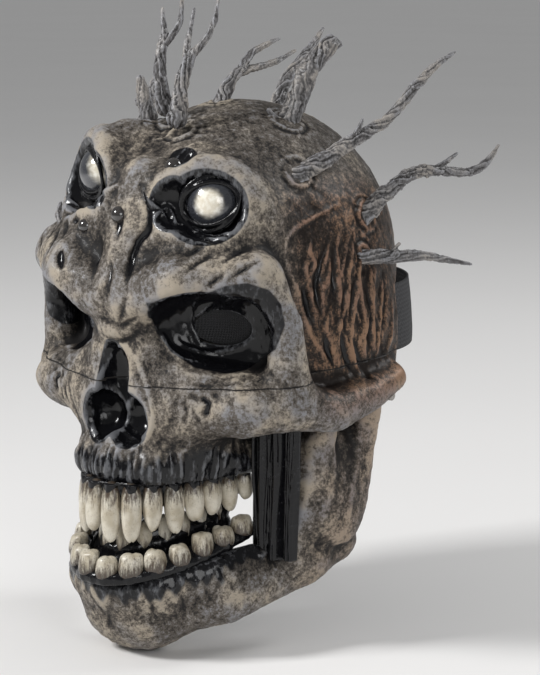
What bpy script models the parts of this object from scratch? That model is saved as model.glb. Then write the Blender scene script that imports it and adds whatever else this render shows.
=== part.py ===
"""Latex halloween mask: a horned demon skull with four eyes and a hinged jaw.

Lengths are in millimetres in the lists below and become metres when a piece is made.
The origin is the middle of the wearer's head at ear level; the face looks along -Y,
the wearer's left is +X and the crown is +Z.
"""
import math

import bmesh
import bpy
import numpy as np
from mathutils import Euler, Matrix, Vector

MM = 0.001

# ---- driving dimensions, mm ----
HEAD_HALF_WIDTH = 87.0      # cranium, ear to ear
HEAD_HALF_DEPTH = 98.0      # cranium, forehead to back
HEAD_HALF_HEIGHT = 92.0
CROWN_Z = 144.0
SKIN = 3.5                  # latex wall
FIT = 0.3                   # gap left between faces that touch
FAR = 250.0                 # past every piece, for cutters

GUM_Z = -62.0               # flat underside of the upper jaw, where the teeth seat
JAW_SEAT_FRONT = -119.0     # flat top of the lower jaw at its front
JAW_SEAT_SLOPE = 0.27       # rise of that flat toward the back, per mm
JAW_SEAT_BACK_Y = -47.0
JAW_FRONT_Y = -128.0

TOOTH_ARCH_HALF_WIDTH = 48.0    # outer lower row, the widest of the three
TOOTH_ARCH_FRONT_Y = -123.0
UPPER_INSET = 5.0           # the upper row closes this far inside it
INNER_INSET_FRONT = 16.0    # the inner lower row stands this far behind it
INNER_INSET_SIDE = 18.5
UPPER_BACK_Y = -40.0        # where each row's arch is widest
OUTER_BACK_Y = -47.0
INNER_BACK_Y = -50.0

MOUTH_Y = -38.0             # opening behind the upper teeth
MOUTH_HALF_WIDTH = 31.0
MOUTH_HALF_DEPTH = 54.0
MOUTH_ROOF_Z = -36.0
TOOTH_SHELF = [(-250, -112), (-30, -60), (-30, 50), (-250, 50)]  # stays under the teeth
SEAM_FRONT_Z = -8.0         # glued seam under the skull casting, where it crosses the nose
SEAM_SLOPE = 0.07           # rise of the seam toward the back, per mm
THROAT_HALF_WIDTH = 89.0    # opening between the cheeks, down to the jaw
THROAT = [(-44, -30), (-30, -14), (60, -14)]
NAPE = [(34, -12), (40, 38), (66, 56), (200, 62)]

HINGE_Y = 14.0              # jaw pin axis
HINGE_Z = -20.0
JAW_PIVOT = (0, HINGE_Y, HINGE_Z)
TANG = 14.0                 # the jaw is solid this far below its pins
PIN_RADIUS = 3.0
PIN_HEAD_RADIUS = 6.0
PIN_HEAD_THICK = 2.0
PIN_INNER_X = 79.0
PIN_OUTER_X = 102.5

EYE_X = 41.0                # upper eyes
EYE_Z = 93.0
EYE_Y = -68.0
EYE_RADIUS = 16.0
EYE_LIFT = 12.0             # the wearer's right upper eye sits this much higher

SOCKET_X = 60.0             # lower eye sockets, which the wearer sees through
SOCKET_Z = 24.0
SIGHT_X = 47.0              # openings at the back of the sockets
SIGHT_HALF_WIDTH = 16.0
SIGHT_HALF_HEIGHT = 10.0
SCREEN_THICK = 1.2

BAND_WIDTH = 38.0           # braided elastic behind the head
BAND_THICK = 1.6
BAND_Z = 20.0

BAND_GLUED = 16.0           # length bonded inside each edge of the shell
BAND_START_Y = 12.0
BAND_BACK_Y = 108.0

PAD_THICK = 12.0            # foam in the crown
BROW_PAD_Y = -84.0          # flat back of the brow pad
BROW_PAD_HALF_WIDTH = 42.0
BROW_PAD_LOW = 50.0
BROW_PAD_HIGH = 66.0

PEG_RADIUS = 2.5            # root of each branch, in its bored hole
PEG_DEPTH = 3.0
PEG_HOLE_DEPTH = 6.0        # the hole goes right through the skin
PEG_IN_BRANCH = 5.0

WEB_THICK = 1.4             # black latex between cheek and jaw
WEB_INNER_X = 58.0
WEB_OUTER_X = 75.0
WEB_Y = -50.0
WEB_PLEAT = 3.0
WEB_TOP = -24.0             # ends inside the cheek and the jaw until it is trimmed
WEB_LOW = -112.0

# ---- how many triangles the soft forms keep ----
SKULL_TRIANGLES = 2700
INNER_TRIANGLES = 800
JAW_TRIANGLES = 1250
JAW_HOLLOW_TRIANGLES = 420
JAW_ROOM_TRIANGLES = 300
JAW_SLOT_TRIANGLES = 200
UPPER_TRIANGLES = 1200
OUTER_TRIANGLES = 1100
INNER_ROW_TRIANGLES = 800
BRANCH_TRIANGLES = 70
FORK_TRIANGLES = 42


# ---- sculpting with blended solids ----
class Ball:
    """An ellipsoid; pair=True stands for one on each side of the face."""

    def __init__(self, centre, radii, turn=(0, 0, 0), blend=8, pair=False):
        self.centre = np.array(centre, float)
        self.radii = np.array(radii, float)
        self.turn = np.array(Euler([math.radians(a) for a in turn]).to_matrix())
        self.blend = blend
        self.pair = pair

    def distance(self, points, grow):
        local = (points - self.centre) @ self.turn
        radii = self.radii + grow
        near = np.linalg.norm(local / radii, axis=1) + 1e-9
        return near * (near - 1) / (np.linalg.norm(local / radii ** 2, axis=1) + 1e-9)

    def add_to(self, mesh, side, grow):
        verts = bmesh.ops.create_icosphere(mesh, subdivisions=4, radius=1)["verts"]
        size = Matrix.Diagonal((*(self.radii + grow), 1))
        place = Matrix.Translation(self.centre) @ Matrix(self.turn.tolist()).to_4x4() @ size
        bmesh.ops.transform(mesh, matrix=Matrix.Diagonal((side, 1, 1, 1)) @ place, verts=verts)


class Bar:
    """A rounded, tapering rod through a few points."""

    def __init__(self, points, radii, blend=8, pair=False):
        self.points = [np.array(point, float) for point in points]
        self.radii = radii
        self.blend = blend
        self.pair = pair

    def spans(self):
        return zip(self.points, self.points[1:], self.radii, self.radii[1:])

    def distance(self, points, grow):
        best = np.full(len(points), 1e9)
        for start, end, first, last in self.spans():
            run = end - start
            t = np.clip(((points - start) @ run) / (run @ run), 0, 1)
            away = np.linalg.norm(points - start - t[:, None] * run, axis=1)
            best = np.minimum(best, away - first - (last - first) * t)
        return best - grow

    def add_to(self, mesh, side, grow):
        for start, end, first, last in self.spans():
            steps = max(2, int(np.linalg.norm(end - start) / (0.4 * min(first, last))))
            for i in range(steps + 1):
                spot = start + (end - start) * i / steps
                spot[0] *= side
                radius = first + (last - first) * i / steps + grow
                bmesh.ops.create_icosphere(mesh, subdivisions=2, radius=radius,
                                           matrix=Matrix.Translation(spot))


def blend_union(a, b, width):
    mix = np.clip(0.5 + 0.5 * (b - a) / width, 0, 1)
    return b + (a - b) * mix - width * mix * (1 - mix)


def smooth_step(value, low, high):
    t = np.clip((value - low) / (high - low), 0, 1)
    return t * t * (3 - 2 * t)


def form_distance(adds, cuts, points, grow):
    """Signed distance to the blended form, positive outside."""
    one_side = np.c_[np.sqrt(points[:, 0] ** 2 + 4.0), points[:, 1:]]
    total = None
    for shape in adds:
        near = shape.distance(one_side if shape.pair else points, grow)
        total = near if total is None else blend_union(total, near, shape.blend)
    for shape in cuts:
        near = shape.distance(one_side if shape.pair else points, -grow)
        total = -blend_union(-total, near, shape.blend)
    return total


def settle(adds, cuts, points, grow, rounds=5):
    """Move points along the form's slope until they lie on it."""
    reach = 0.2
    for _ in range(rounds):
        here = form_distance(adds, cuts, points, grow)
        slope = np.empty_like(points)
        for axis in range(3):
            step = np.zeros(3)
            step[axis] = reach
            slope[:, axis] = (form_distance(adds, cuts, points + step, grow) - here) / reach
        move = np.clip(here / np.maximum((slope ** 2).sum(1), 0.1), -4, 4)
        points = points - move[:, None] * slope
    return points


# ---- mesh helpers ----
def vertex_array(mesh):
    flat = np.empty(len(mesh.vertices) * 3)
    mesh.vertices.foreach_get("co", flat)
    return flat.reshape(-1, 3)


def set_vertices(mesh, points):
    mesh.vertices.foreach_set("co", points.ravel())
    mesh.update()


def largest_body(mesh):
    """Drop the crumbs that a cut leaves beside the main body."""
    work = bmesh.new()
    work.from_mesh(mesh)
    left = set(work.verts)
    bodies = []
    while left:
        body = {left.pop()}
        edge = list(body)
        while edge:
            near = {link.other_vert(vert) for vert in edge for link in vert.link_edges} - body
            body |= near
            edge = list(near)
        left -= body
        bodies.append(body)
    keep = max(bodies, key=len)
    bmesh.ops.delete(work, geom=[vert for vert in work.verts if vert not in keep], context="VERTS")
    return finished(work)


def with_modifier(mesh, kind, **settings):
    """A new mesh: the given one after one modifier."""
    holder = bpy.data.objects.new("holder", mesh)
    bpy.context.scene.collection.objects.link(holder)
    modifier = holder.modifiers.new(kind.lower(), kind)
    for name, value in settings.items():
        setattr(modifier, name, value)
    graph = bpy.context.evaluated_depsgraph_get()
    result = bpy.data.meshes.new_from_object(holder.evaluated_get(graph))
    bpy.data.objects.remove(holder)
    return result


def boolean(mesh, tool, operation, solver="EXACT"):
    other = bpy.data.objects.new("tool", tool)
    bpy.context.scene.collection.objects.link(other)
    result = with_modifier(mesh, "BOOLEAN", operation=operation, solver=solver, object=other)
    bpy.data.objects.remove(other)
    return result


def cut(mesh, *tools):
    for tool in tools:
        mesh = boolean(mesh, tool, "DIFFERENCE")
    return mesh


def voxel(mesh, size):
    return with_modifier(mesh, "REMESH", mode="VOXEL", voxel_size=size)


def thinned(mesh, triangles):
    count = sum(len(face.vertices) - 2 for face in mesh.polygons)
    return with_modifier(mesh, "DECIMATE", ratio=min(1.0, triangles / count))


def solid_of(shapes, grow=0.0):
    mesh = bmesh.new()
    for shape in shapes:
        shape.add_to(mesh, 1, grow)
        if shape.pair:
            shape.add_to(mesh, -1, grow)
    bmesh.ops.recalc_face_normals(mesh, faces=mesh.faces)
    return finished(mesh)


def finished(mesh):
    data = bpy.data.meshes.new("piece")
    mesh.to_mesh(data)
    mesh.free()
    return data


def sculpted(adds, cuts, triangles, grow=0.0, sizes=(4.0, 2.5)):
    """One closed mesh of the blended form."""
    body = voxel(solid_of(adds, grow), sizes[0])
    if cuts:
        body = boolean(body, voxel(solid_of(cuts, -grow), sizes[0]), "DIFFERENCE", "MANIFOLD")
    for size in sizes:
        body = voxel(body, size)
        set_vertices(body, settle(adds, cuts, vertex_array(body), grow))
    set_vertices(body, lopsided(vertex_array(body)))
    return thinned(body, triangles)


def lopsided(points):
    """The sculpt's right upper eye is raised; the forehead there goes with it."""
    side = smooth_step(-points[:, 0], 5, 40)
    height = smooth_step(points[:, 2], 55, 90) * (1 - smooth_step(points[:, 2], 125, 150))
    front = smooth_step(-points[:, 1], 30, 60)
    return points + np.outer(EYE_LIFT * side * height * front, (0, 0, 1))


def prism(outline, low, high):
    """A y-z outline stretched across x from low to high."""
    mesh = bmesh.new()
    ring = [mesh.verts.new((low, y, z)) for y, z in outline]
    face = mesh.faces.new(ring)
    grown = bmesh.ops.extrude_face_region(mesh, geom=[face])["geom"]
    bmesh.ops.translate(mesh, vec=(high - low, 0, 0),
                        verts=[v for v in grown if isinstance(v, bmesh.types.BMVert)])
    bmesh.ops.recalc_face_normals(mesh, faces=mesh.faces)
    return finished(mesh)


def slab(low, high):
    """Everything between two heights."""
    return prism([(-FAR, low), (FAR, low), (FAR, high), (-FAR, high)], -FAR, FAR)


def column(centre, radii, low, high, sides=40):
    """An upright elliptical column."""
    mesh = bmesh.new()
    bmesh.ops.create_cone(mesh, cap_ends=True, segments=sides, radius1=1, radius2=1, depth=1)
    size = Matrix.Diagonal((radii[0], radii[1], high - low, 1))
    place = Matrix.Translation((centre[0], centre[1], (low + high) / 2)) @ size
    bmesh.ops.transform(mesh, matrix=place, verts=mesh.verts)
    return finished(mesh)


def rod(start, end, radius, sides=16):
    """A straight round rod."""
    start = Vector(start)
    end = Vector(end)
    mesh = bmesh.new()
    bmesh.ops.create_cone(mesh, cap_ends=True, segments=sides, radius1=radius,
                          radius2=radius, depth=(end - start).length)
    turn = (end - start).to_track_quat("Z", "Y").to_matrix().to_4x4()
    bmesh.ops.transform(mesh, matrix=Matrix.Translation((start + end) / 2) @ turn, verts=mesh.verts)
    return finished(mesh)


def globe(centre, radii, segments=18, rings=11):
    mesh = bmesh.new()
    bmesh.ops.create_uvsphere(mesh, u_segments=segments, v_segments=rings, radius=1)
    place = Matrix.Translation(centre) @ Matrix.Diagonal((*radii, 1))
    bmesh.ops.transform(mesh, matrix=place, verts=mesh.verts)
    return finished(mesh)


def joined(*meshes):
    mesh = bmesh.new()
    for data in meshes:
        mesh.from_mesh(data)
    return finished(mesh)


def material(name, colour, roughness, metallic=0.0):
    made = bpy.data.materials.new(name)
    made.use_nodes = True
    shader = made.node_tree.nodes["Principled BSDF"]
    shader.inputs["Base Color"].default_value = (*colour, 1)
    shader.inputs["Roughness"].default_value = roughness
    shader.inputs["Metallic"].default_value = metallic
    return made


def piece(name, mesh, finish, pivot=(0, 0, 0)):
    """Make the node: mesh in metres, its origin at the pivot."""
    mesh.transform(Matrix.Translation(-Vector(pivot)))
    mesh.transform(Matrix.Diagonal((MM, MM, MM, 1)))
    mesh.name = name
    mesh.materials.clear()
    mesh.materials.append(finish)
    mesh.shade_smooth()
    node = bpy.data.objects.new(name, mesh)
    node.location = Vector(pivot) * MM
    PARTS.objects.link(node)
    return node


# ---- the sculpt, mm ----
CRANIUM_Z = CROWN_Z - HEAD_HALF_HEIGHT
SKULL = [
    Ball((0, 0, CRANIUM_Z), (HEAD_HALF_WIDTH, HEAD_HALF_DEPTH, HEAD_HALF_HEIGHT)),
    # temples, brow bosses and the brow ridge
    Ball((50, 8, 4), (43, 68, 56), blend=20, pair=True),
    Ball((28, -58, 78), (44, 38, 42), blend=18, pair=True),
    Bar([(10, -102, 40), (40, -98, 50), (74, -76, 56)], [14, 17, 12], blend=10, pair=True),
    Bar([(0, -80, 104), (0, -100, 50)], [12, 12], blend=10),
    # bridge and sides of the nose
    Ball((13, -90, 2), (15, 17, 32), blend=10, pair=True),
    Bar([(0, -94, 42), (0, -102, 24), (0, -104, 14)], [13, 10, 6], blend=10),
    # cheek bones, their arches and the outer rims of the sockets
    Ball((58, -70, -17), (34, 24, 19), blend=14, pair=True),
    Ball((32, -84, -14), (24, 19, 24), blend=12, pair=True),
    Bar([(86, -56, -18), (94, -30, -23), (96, 0, -18), (95, 24, -12)], [13, 12, 10, 8],
        blend=10, pair=True),
    Bar([(78, -70, 54), (87, -62, 28), (86, -58, -10)], [11, 9, 13], blend=10, pair=True),
    # upper jaw and its tooth ridge
    Ball((0, -66, -30), (46, 46, 38), blend=14),
    Bar([(0, -106, -54), (22, -99, -54), (38, -74, -54), (44, -42, -54)], [12, 12, 11, 10],
        blend=10, pair=True),
    # rolled lids of the upper eyes
    Bar([(EYE_X + 23 * math.cos(a), EYE_Y - 5 + 14 * math.cos(a), EYE_Z + 21 * math.sin(a))
         for a in np.linspace(0, 2 * math.pi, 13)], [5] * 13, blend=9, pair=True),
]
SKULL_CUTS = [
    Ball((SOCKET_X, -98, SOCKET_Z), (34, 34, 23), turn=(0, 14, -12), blend=6, pair=True),
    Ball((EYE_X + 8, EYE_Y - 18, EYE_Z), (21, 21, 18), blend=5, pair=True),
    Ball((22, -80, 121), (9, 10, 5), turn=(0, 20, 0), blend=3, pair=True),
    Ball((0, -110, -6), (10, 16, 22), blend=4),
    Ball((11, -108, -27), (12, 18, 14), blend=4, pair=True),
    Ball((66, -92, -62), (24, 32, 20), blend=8, pair=True),
]
JAW = [
    Ball((0, -87, -140), (30, 25, 25)),
    Bar([(12, -92, -136), (46, -67, -128), (62, -20, -116), (66, 4, -108)], [20, 18, 15, 13],
        blend=12, pair=True),
    # cheek side of the jaw, up under the arch
    Bar([(66, 4, -106), (78, 10, -66), (88, HINGE_Y, HINGE_Z)], [13, 10, 7], blend=8, pair=True),
    Bar([(66, -20, -112), (76, -28, -66), (85, -22, -30)], [12, 9, 6], blend=12, pair=True),
    Ball((76, -8, -66), (12, 26, 40), turn=(0, -12, 0), blend=8, pair=True),
    # tooth ridge
    Bar([(0, -109, -124), (25, -100, -122), (44, -75, -114), (50, -52, -106)], [14, 14, 12, 11],
        blend=8, pair=True),
]
JAW_SLOT = [Ball((91.5, -4, -31), (8.5, 37, 22), pair=True)]
JAW_ROOM = [
    Ball((0, 0, -92), (74, 94, 62)),
    Ball((0, 40, -92), (90, 60, 90)),
]

# branch name: runs of (x, y, z) with a radius at each point; the first point is the root
BRANCHES = {
    "branch_brow_stub": [([(-28, -47, 136), (-30, -49, 147), (-31, -50, 157)], [5, 4, 2.5])],
    "branch_brow_right": [
        ([(-14, -49, 142), (-15, -50, 155), (-16, -50, 168), (-16, -46, 181)], [5.5, 4, 3.5, 3]),
        ([(-16, -46, 181), (-20, -43, 197)], [2.6, 1]),
        ([(-16, -48, 176), (-11, -43, 184), (-8, -41, 191), (-8, -40, 204)], [2.6, 2, 1.8, 1])],
    "branch_brow_left": [
        ([(4, -58, 137), (5, -56, 150), (6, -54, 162), (7, -48, 173)], [6, 4.5, 4, 3]),
        ([(6, -52, 166), (1, -45, 179), (-2, -36, 197)], [2.8, 2, 1]),
        ([(7, -48, 172), (12, -41, 182), (14, -37, 191), (14, -34, 202)], [2.6, 2, 1.8, 1])],
    "branch_crown_front": [
        ([(-6, -10, 142), (-6, -3, 152), (-5, 6, 160)], [5, 4, 3]),
        ([(-5, 6, 160), (-8, 20, 169), (-8, 32, 174), (-8, 46, 177)], [2.8, 2.4, 2, 1]),
        ([(-5, 6, 159), (-3, 22, 162), (-4, 38, 164), (-4, 56, 170)], [2.8, 2.4, 2, 1])],
    "branch_crown_right": [
        ([(-14, 48, 132), (-16, 64, 153), (-18, 86, 168), (-20, 103, 181)], [5, 4, 3, 1.2])],
    "branch_crown_left": [
        ([(34, -3, 124), (37, 6, 142), (40, 17, 164), (42, 32, 176)], [8, 6.5, 6, 5.5]),
        ([(42, 32, 176), (43, 39, 176)], [5, 2]),
        ([(35, -4, 132), (31, -10, 140)], [3, 1.5])],
    "branch_temple_left": [
        ([(62, -26, 104), (71, -6, 115), (79, 12, 126), (86, 31, 136), (92, 45, 152)],
         [6.5, 5, 4, 3.2, 3]),
        ([(92, 45, 152), (97, 59, 164), (101, 73, 172)], [3, 2.4, 1]),
        ([(78, 9, 125), (81, 12, 136)], [2.5, 1])],
    "branch_temple_right": [
        ([(-62, -26, 104), (-72, -8, 118), (-82, 8, 130), (-90, 24, 146)], [6.5, 5, 4, 3]),
        ([(-90, 24, 146), (-97, 38, 160)], [3, 1]),
        ([(-80, 6, 128), (-84, 2, 140)], [2.5, 1])],
    "branch_ear_left": [
        ([(78, 16, 80), (85, 27, 92), (94, 43, 104), (102, 58, 105)], [6.5, 5, 4, 3.4]),
        ([(102, 58, 105), (109, 75, 103), (115, 86, 108), (119, 92, 118)], [3.2, 2.8, 2.4, 1]),
        ([(100, 55, 105), (106, 69, 114)], [2.4, 1])],
    "branch_ear_right": [
        ([(-78, 16, 80), (-86, 28, 94), (-94, 46, 104), (-104, 60, 112)], [6.5, 5, 4, 3]),
        ([(-104, 60, 112), (-112, 76, 120)], [3, 1])],
    "branch_low_left": [
        ([(85, 6, 59), (95, 18, 58.5), (103, 29, 59), (111, 42, 57), (122, 62, 52)],
         [5, 4, 3.5, 2.6, 1]),
        ([(96, 20, 60), (99, 24, 66)], [2, 1])],
    "branch_forehead_right": [
        ([(-64, -74, 72), (-71, -77, 77), (-76, -71, 84)], [4, 3, 1.2])],
}


# small glossy beads set in pits of the forehead
BEADS = {
    "bead_eye_centre": dict(spot=(-3, -99, 86), radius=5, sunk=2),
    "bead_eye_right": dict(spot=(-30, -92, 72), radius=4.5, sunk=2),
    "bead_eye_left": dict(spot=(22, -82, 117), radius=5, sunk=2),
}


def arch(centre_y, half_width, depth, share):
    """A spot on a dental arch; share runs from -1 (right end) to 1 (left end)."""
    turn = share * math.pi / 2
    x = half_width * math.sin(turn)
    y = centre_y - depth * math.cos(turn)
    outward = Vector((math.sin(turn) / half_width, -math.cos(turn) / depth, 0)).normalized()
    return Vector((x, y, 0)), outward


def even_shares(centre_y, half_width, depth, count):
    """Shares that space the teeth evenly along the arch."""
    fine = np.linspace(-1, 1, 401)
    spots = np.array([arch(centre_y, half_width, depth, s)[0] for s in fine])
    run = np.r_[0, np.cumsum(np.linalg.norm(np.diff(spots, axis=0), axis=1))]
    return np.interp((np.arange(count) + 0.5) / count * run[-1], run, fine)


def tooth(spot, outward, root, tip, width, thick, lean):
    """One tooth: a barrel that narrows to the gum and ends in a worn edge."""
    mesh = bmesh.new()
    bmesh.ops.create_uvsphere(mesh, u_segments=12, v_segments=10, radius=1)
    for vert in mesh.verts:
        high = vert.co.z
        belly = (1 - abs(high) ** 3.2) ** 0.5
        flat = math.hypot(vert.co.x, vert.co.y)
        if flat > 1e-6:
            vert.co.x *= belly / flat
            vert.co.y *= belly / flat
    across = outward.cross(Vector((0, 0, 1))).normalized()
    middle = (root + tip) / 2
    for vert in mesh.verts:
        side = vert.co.x * width / 2 * (1 - 0.16 * vert.co.z)
        deep = vert.co.y * thick / 2 * (1 + 0.22 * vert.co.z)
        rise = vert.co.z * (root - tip) / 2
        vert.co = spot + across * side + outward * (deep - lean * vert.co.z)
        vert.co.z = middle + rise
    bmesh.ops.recalc_face_normals(mesh, faces=mesh.faces)
    return finished(mesh)


def denture(row, triangles):
    """Teeth and the gum that holds them, as one closed mesh."""
    spots = even_shares(row["y"], row["half_width"], row["depth"], row["count"])
    meshes = []
    for number, share in enumerate(spots):
        spot, outward = arch(row["y"], row["half_width"], row["depth"], share)
        length = row["length"] * (1 - row["shorter_back"] * abs(share) ** 1.5)
        length *= 1 + 0.08 * math.sin(2.4 * number)
        base = row["root"](spot)
        tip = base + (length if row["up"] else -length)
        meshes.append(tooth(spot, outward, base, tip, row["width"], row["thick"], row["lean"]))
    rise = 1 if row["up"] else -1
    for height, inset, radius in row["gum"]:
        line = []
        for share in np.linspace(-1, 1, 25):
            spot, outward = arch(row["y"], row["half_width"], row["depth"], share)
            spot -= outward * inset
            spot.z = row["root"](spot) + rise * height
            line.append(spot)
        meshes.append(solid_of([Bar(line, [radius] * len(line))]))
    return thinned(voxel(joined(*meshes), 1.1), triangles)


def jaw_seat(point):
    """Height of the flat on the lower jaw."""
    return JAW_SEAT_FRONT + JAW_SEAT_SLOPE * (point[1] - JAW_FRONT_Y)


# gum: rolls behind and under the teeth as (height, inset, radius)
UPPER = dict(y=UPPER_BACK_Y, half_width=TOOTH_ARCH_HALF_WIDTH - UPPER_INSET,
             depth=UPPER_BACK_Y - TOOTH_ARCH_FRONT_Y - UPPER_INSET, count=16, length=32,
             shorter_back=0.5, width=10.5, thick=9, lean=1.5, up=False,
             root=lambda spot: GUM_Z - 3, gum=[(-2, 0, 6.5), (8, 3, 4.5), (14, 4, 3.5)])
LOWER_OUTER = dict(y=OUTER_BACK_Y, half_width=TOOTH_ARCH_HALF_WIDTH,
                   depth=OUTER_BACK_Y - TOOTH_ARCH_FRONT_Y, count=18, length=13,
                   shorter_back=0.1, width=10, thick=9, lean=-1.0, up=True,
                   root=lambda spot: jaw_seat(spot) + 3, gum=[(0, 0, 6), (5, 3, 4)])
LOWER_INNER = dict(y=INNER_BACK_Y, half_width=TOOTH_ARCH_HALF_WIDTH - INNER_INSET_SIDE,
                   depth=INNER_BACK_Y - TOOTH_ARCH_FRONT_Y - INNER_INSET_FRONT, count=12,
                   length=20, shorter_back=0.45, width=9.5, thick=8, lean=-1.0, up=True,
                   root=lambda spot: jaw_seat(spot) + 8,
                   gum=[(-4, 0, 6), (3, 0, 5), (8, 2, 4)])


def on_skin(point):
    """The nearest spot on the skull's outer face, and its outward direction."""
    spot = settle(SKULL, SKULL_CUTS, np.array([point], float), 0.0, rounds=12)[0]
    reach = 0.5
    here = form_distance(SKULL, SKULL_CUTS, spot[None], 0.0)[0]
    slope = [form_distance(SKULL, SKULL_CUTS, (spot + step)[None], 0.0)[0] - here
             for step in np.eye(3) * reach]
    return Vector(lopsided(spot[None])[0]), Vector(slope).normalized()


def wall_x(y, z, grow):
    """Where the side of the skull's form lies at (y, z), found from outside inward."""
    xs = np.arange(115, 60, -0.25)
    points = np.c_[xs, np.full(len(xs), float(y)), np.full(len(xs), float(z))]
    inside = form_distance(SKULL, SKULL_CUTS, points, grow) < 0
    return float(xs[np.argmax(inside)])


def wall_y(x, z, start=-20.0):
    """The front face of the skull's form at (x, z), found from inside outward."""
    ys = np.arange(start, -140, -0.5)
    points = np.c_[np.full(len(ys), float(x)), ys, np.full(len(ys), float(z))]
    outside = form_distance(SKULL, SKULL_CUTS, points, 0.0) > 0
    return float(ys[np.argmax(outside)])


def branch_mesh(runs, ground, triangles):
    """Branch runs joined, cut to sit on the skull, with the peg for its bored hole."""
    bars = [Bar(points, radii) for points, radii in runs]
    body = thinned(voxel(solid_of(bars), 1.0), triangles)
    body = largest_body(cut(body, ground))
    outward = on_skin(runs[0][0][0])[1]
    body.transform(Matrix.Translation(outward * FIT))
    return boolean(body, branch_peg(runs), "UNION")


def branch_peg(runs, extra=0.0):
    root, outward = on_skin(runs[0][0][0])
    depth = PEG_HOLE_DEPTH if extra else PEG_DEPTH
    return rod(root + outward * PEG_IN_BRANCH, root - outward * depth,
               PEG_RADIUS + extra, 7)


def flat_cut(mesh, point, normal):
    """Remove what lies beyond a plane and close the face."""
    work = bmesh.new()
    work.from_mesh(mesh)
    everything = work.verts[:] + work.edges[:] + work.faces[:]
    bmesh.ops.bisect_plane(work, geom=everything, plane_co=point, plane_no=normal, clear_outer=True)
    bmesh.ops.holes_fill(work, edges=work.edges)
    bmesh.ops.triangulate(work, faces=work.faces)
    bmesh.ops.recalc_face_normals(work, faces=work.faces)
    return finished(work)


def sheet(rows, thick):
    """A thin closed sheet from a grid of points, thick across its surface."""
    work = bmesh.new()
    grid = [[work.verts.new(point) for point in row] for row in rows]
    for near, far in zip(grid, grid[1:]):
        for a, b, c, d in zip(near, near[1:], far[1:], far):
            work.faces.new((a, b, c, d))
    return with_modifier(finished(work), "SOLIDIFY", thickness=thick, offset=0)


def below(line, half_width):
    """Everything under a y-z line, out to half_width on each side."""
    return prism([(line[0][0], -FAR), *line, (line[-1][0], -FAR)], -half_width, half_width)


# ---- the pieces ----
def build_skull(finish, skin, inside):
    hollow = cut(inside, slab(-FAR, GUM_Z + SKIN))
    outer = cut(skin, slab(-FAR, GUM_Z))
    mouth = column((0, MOUTH_Y), (MOUTH_HALF_WIDTH, MOUTH_HALF_DEPTH), -FAR, MOUTH_ROOF_Z)
    throat = below(THROAT, THROAT_HALF_WIDTH)
    nape = below(NAPE, FAR)
    slot = sculpted(JAW_SLOT, [], JAW_SLOT_TRIANGLES, sizes=(3.0, 2.0))
    tools = [hollow, mouth, throat, nape, slot, band(FIT)]
    for side in (1, -1):
        tools.append(upper_eye_ball(side, FIT))
        tools.append(sight_disc(side, 24, FIT))
        tools.append(rod((side * PIN_INNER_X, HINGE_Y, HINGE_Z),
                         (side * (PIN_OUTER_X + FIT), HINGE_Y, HINGE_Z), PIN_RADIUS + FIT))
    tools += [bead(place, FIT) for place in BEADS.values()]
    tools += [branch_peg(runs, FIT) for runs in BRANCHES.values()]
    shell = cut(outer, *tools)
    over_seam = [(y, seam_height(y)) for y in (-FAR, FAR)]
    under_seam = [(y, z - FIT) for y, z in over_seam]
    piece("skull_shell", largest_body(cut(shell, below(over_seam, FAR))), finish)
    over = prism([*under_seam, (FAR, FAR), (-FAR, FAR)], -FAR, FAR)
    piece("upper_jaw_shell", largest_body(cut(shell, over)), finish)


def seam_height(y):
    """Where the upper jaw, a casting of its own, is glued under the skull."""
    return SEAM_FRONT_Z + SEAM_SLOPE * (y - TOOTH_ARCH_FRONT_Y)


def upper_eye_ball(side, extra=0.0):
    lift = EYE_LIFT if side < 0 else 0.0
    ball = EYE_RADIUS + extra
    return globe((side * EYE_X, EYE_Y, EYE_Z + lift), (ball, ball, ball))


def sight_disc(side, thick, extra=0.0):
    disc = column((0, 0), (SIGHT_HALF_WIDTH + extra, SIGHT_HALF_HEIGHT + extra),
                  -thick / 2, thick / 2, 28)
    wall = wall_y(SIGHT_X, SOCKET_Z) + SKIN / 2
    disc.transform(Matrix.Translation((side * SIGHT_X, wall, SOCKET_Z))
                   @ Matrix.Rotation(math.pi / 2, 4, "X"))
    return disc


def bead(place, extra=0.0):
    spot, outward = on_skin(place["spot"])
    size = place["radius"] + extra
    return globe(spot - outward * place["sunk"], (size, size, size), 10, 7)


def above_jaw_seat(wall=0.0):
    """Everything over the flat of the lower jaw; wall leaves skin under and behind it."""
    back = JAW_SEAT_BACK_Y + wall
    outline = [(-FAR, jaw_seat((0, -FAR)) - wall), (back, jaw_seat((0, back)) - wall), (back, 0),
               (-FAR, 0)]
    return prism(outline, -FAR, FAR)


def jaw_form():
    """The jaw's outer form with the flat that its teeth seat on."""
    return cut(sculpted(JAW, [], JAW_TRIANGLES), above_jaw_seat())


def build_jaw(finish, outer):
    hollow = sculpted(JAW, [], JAW_HOLLOW_TRIANGLES, grow=-SKIN, sizes=(4.0, 3.0))
    hollow = cut(hollow, above_jaw_seat(SKIN), slab(HINGE_Z - TANG, FAR))
    room = sculpted(JAW_ROOM, [], JAW_ROOM_TRIANGLES)
    room = cut(room, prism(TOOTH_SHELF, -FAR, FAR))
    pin_hole = rod((-FAR, HINGE_Y, HINGE_Z), (FAR, HINGE_Y, HINGE_Z), PIN_RADIUS + FIT)
    shell = cut(outer, hollow, room, pin_hole)
    return piece("jaw_shell", largest_body(shell), finish, pivot=JAW_PIVOT)


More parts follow.
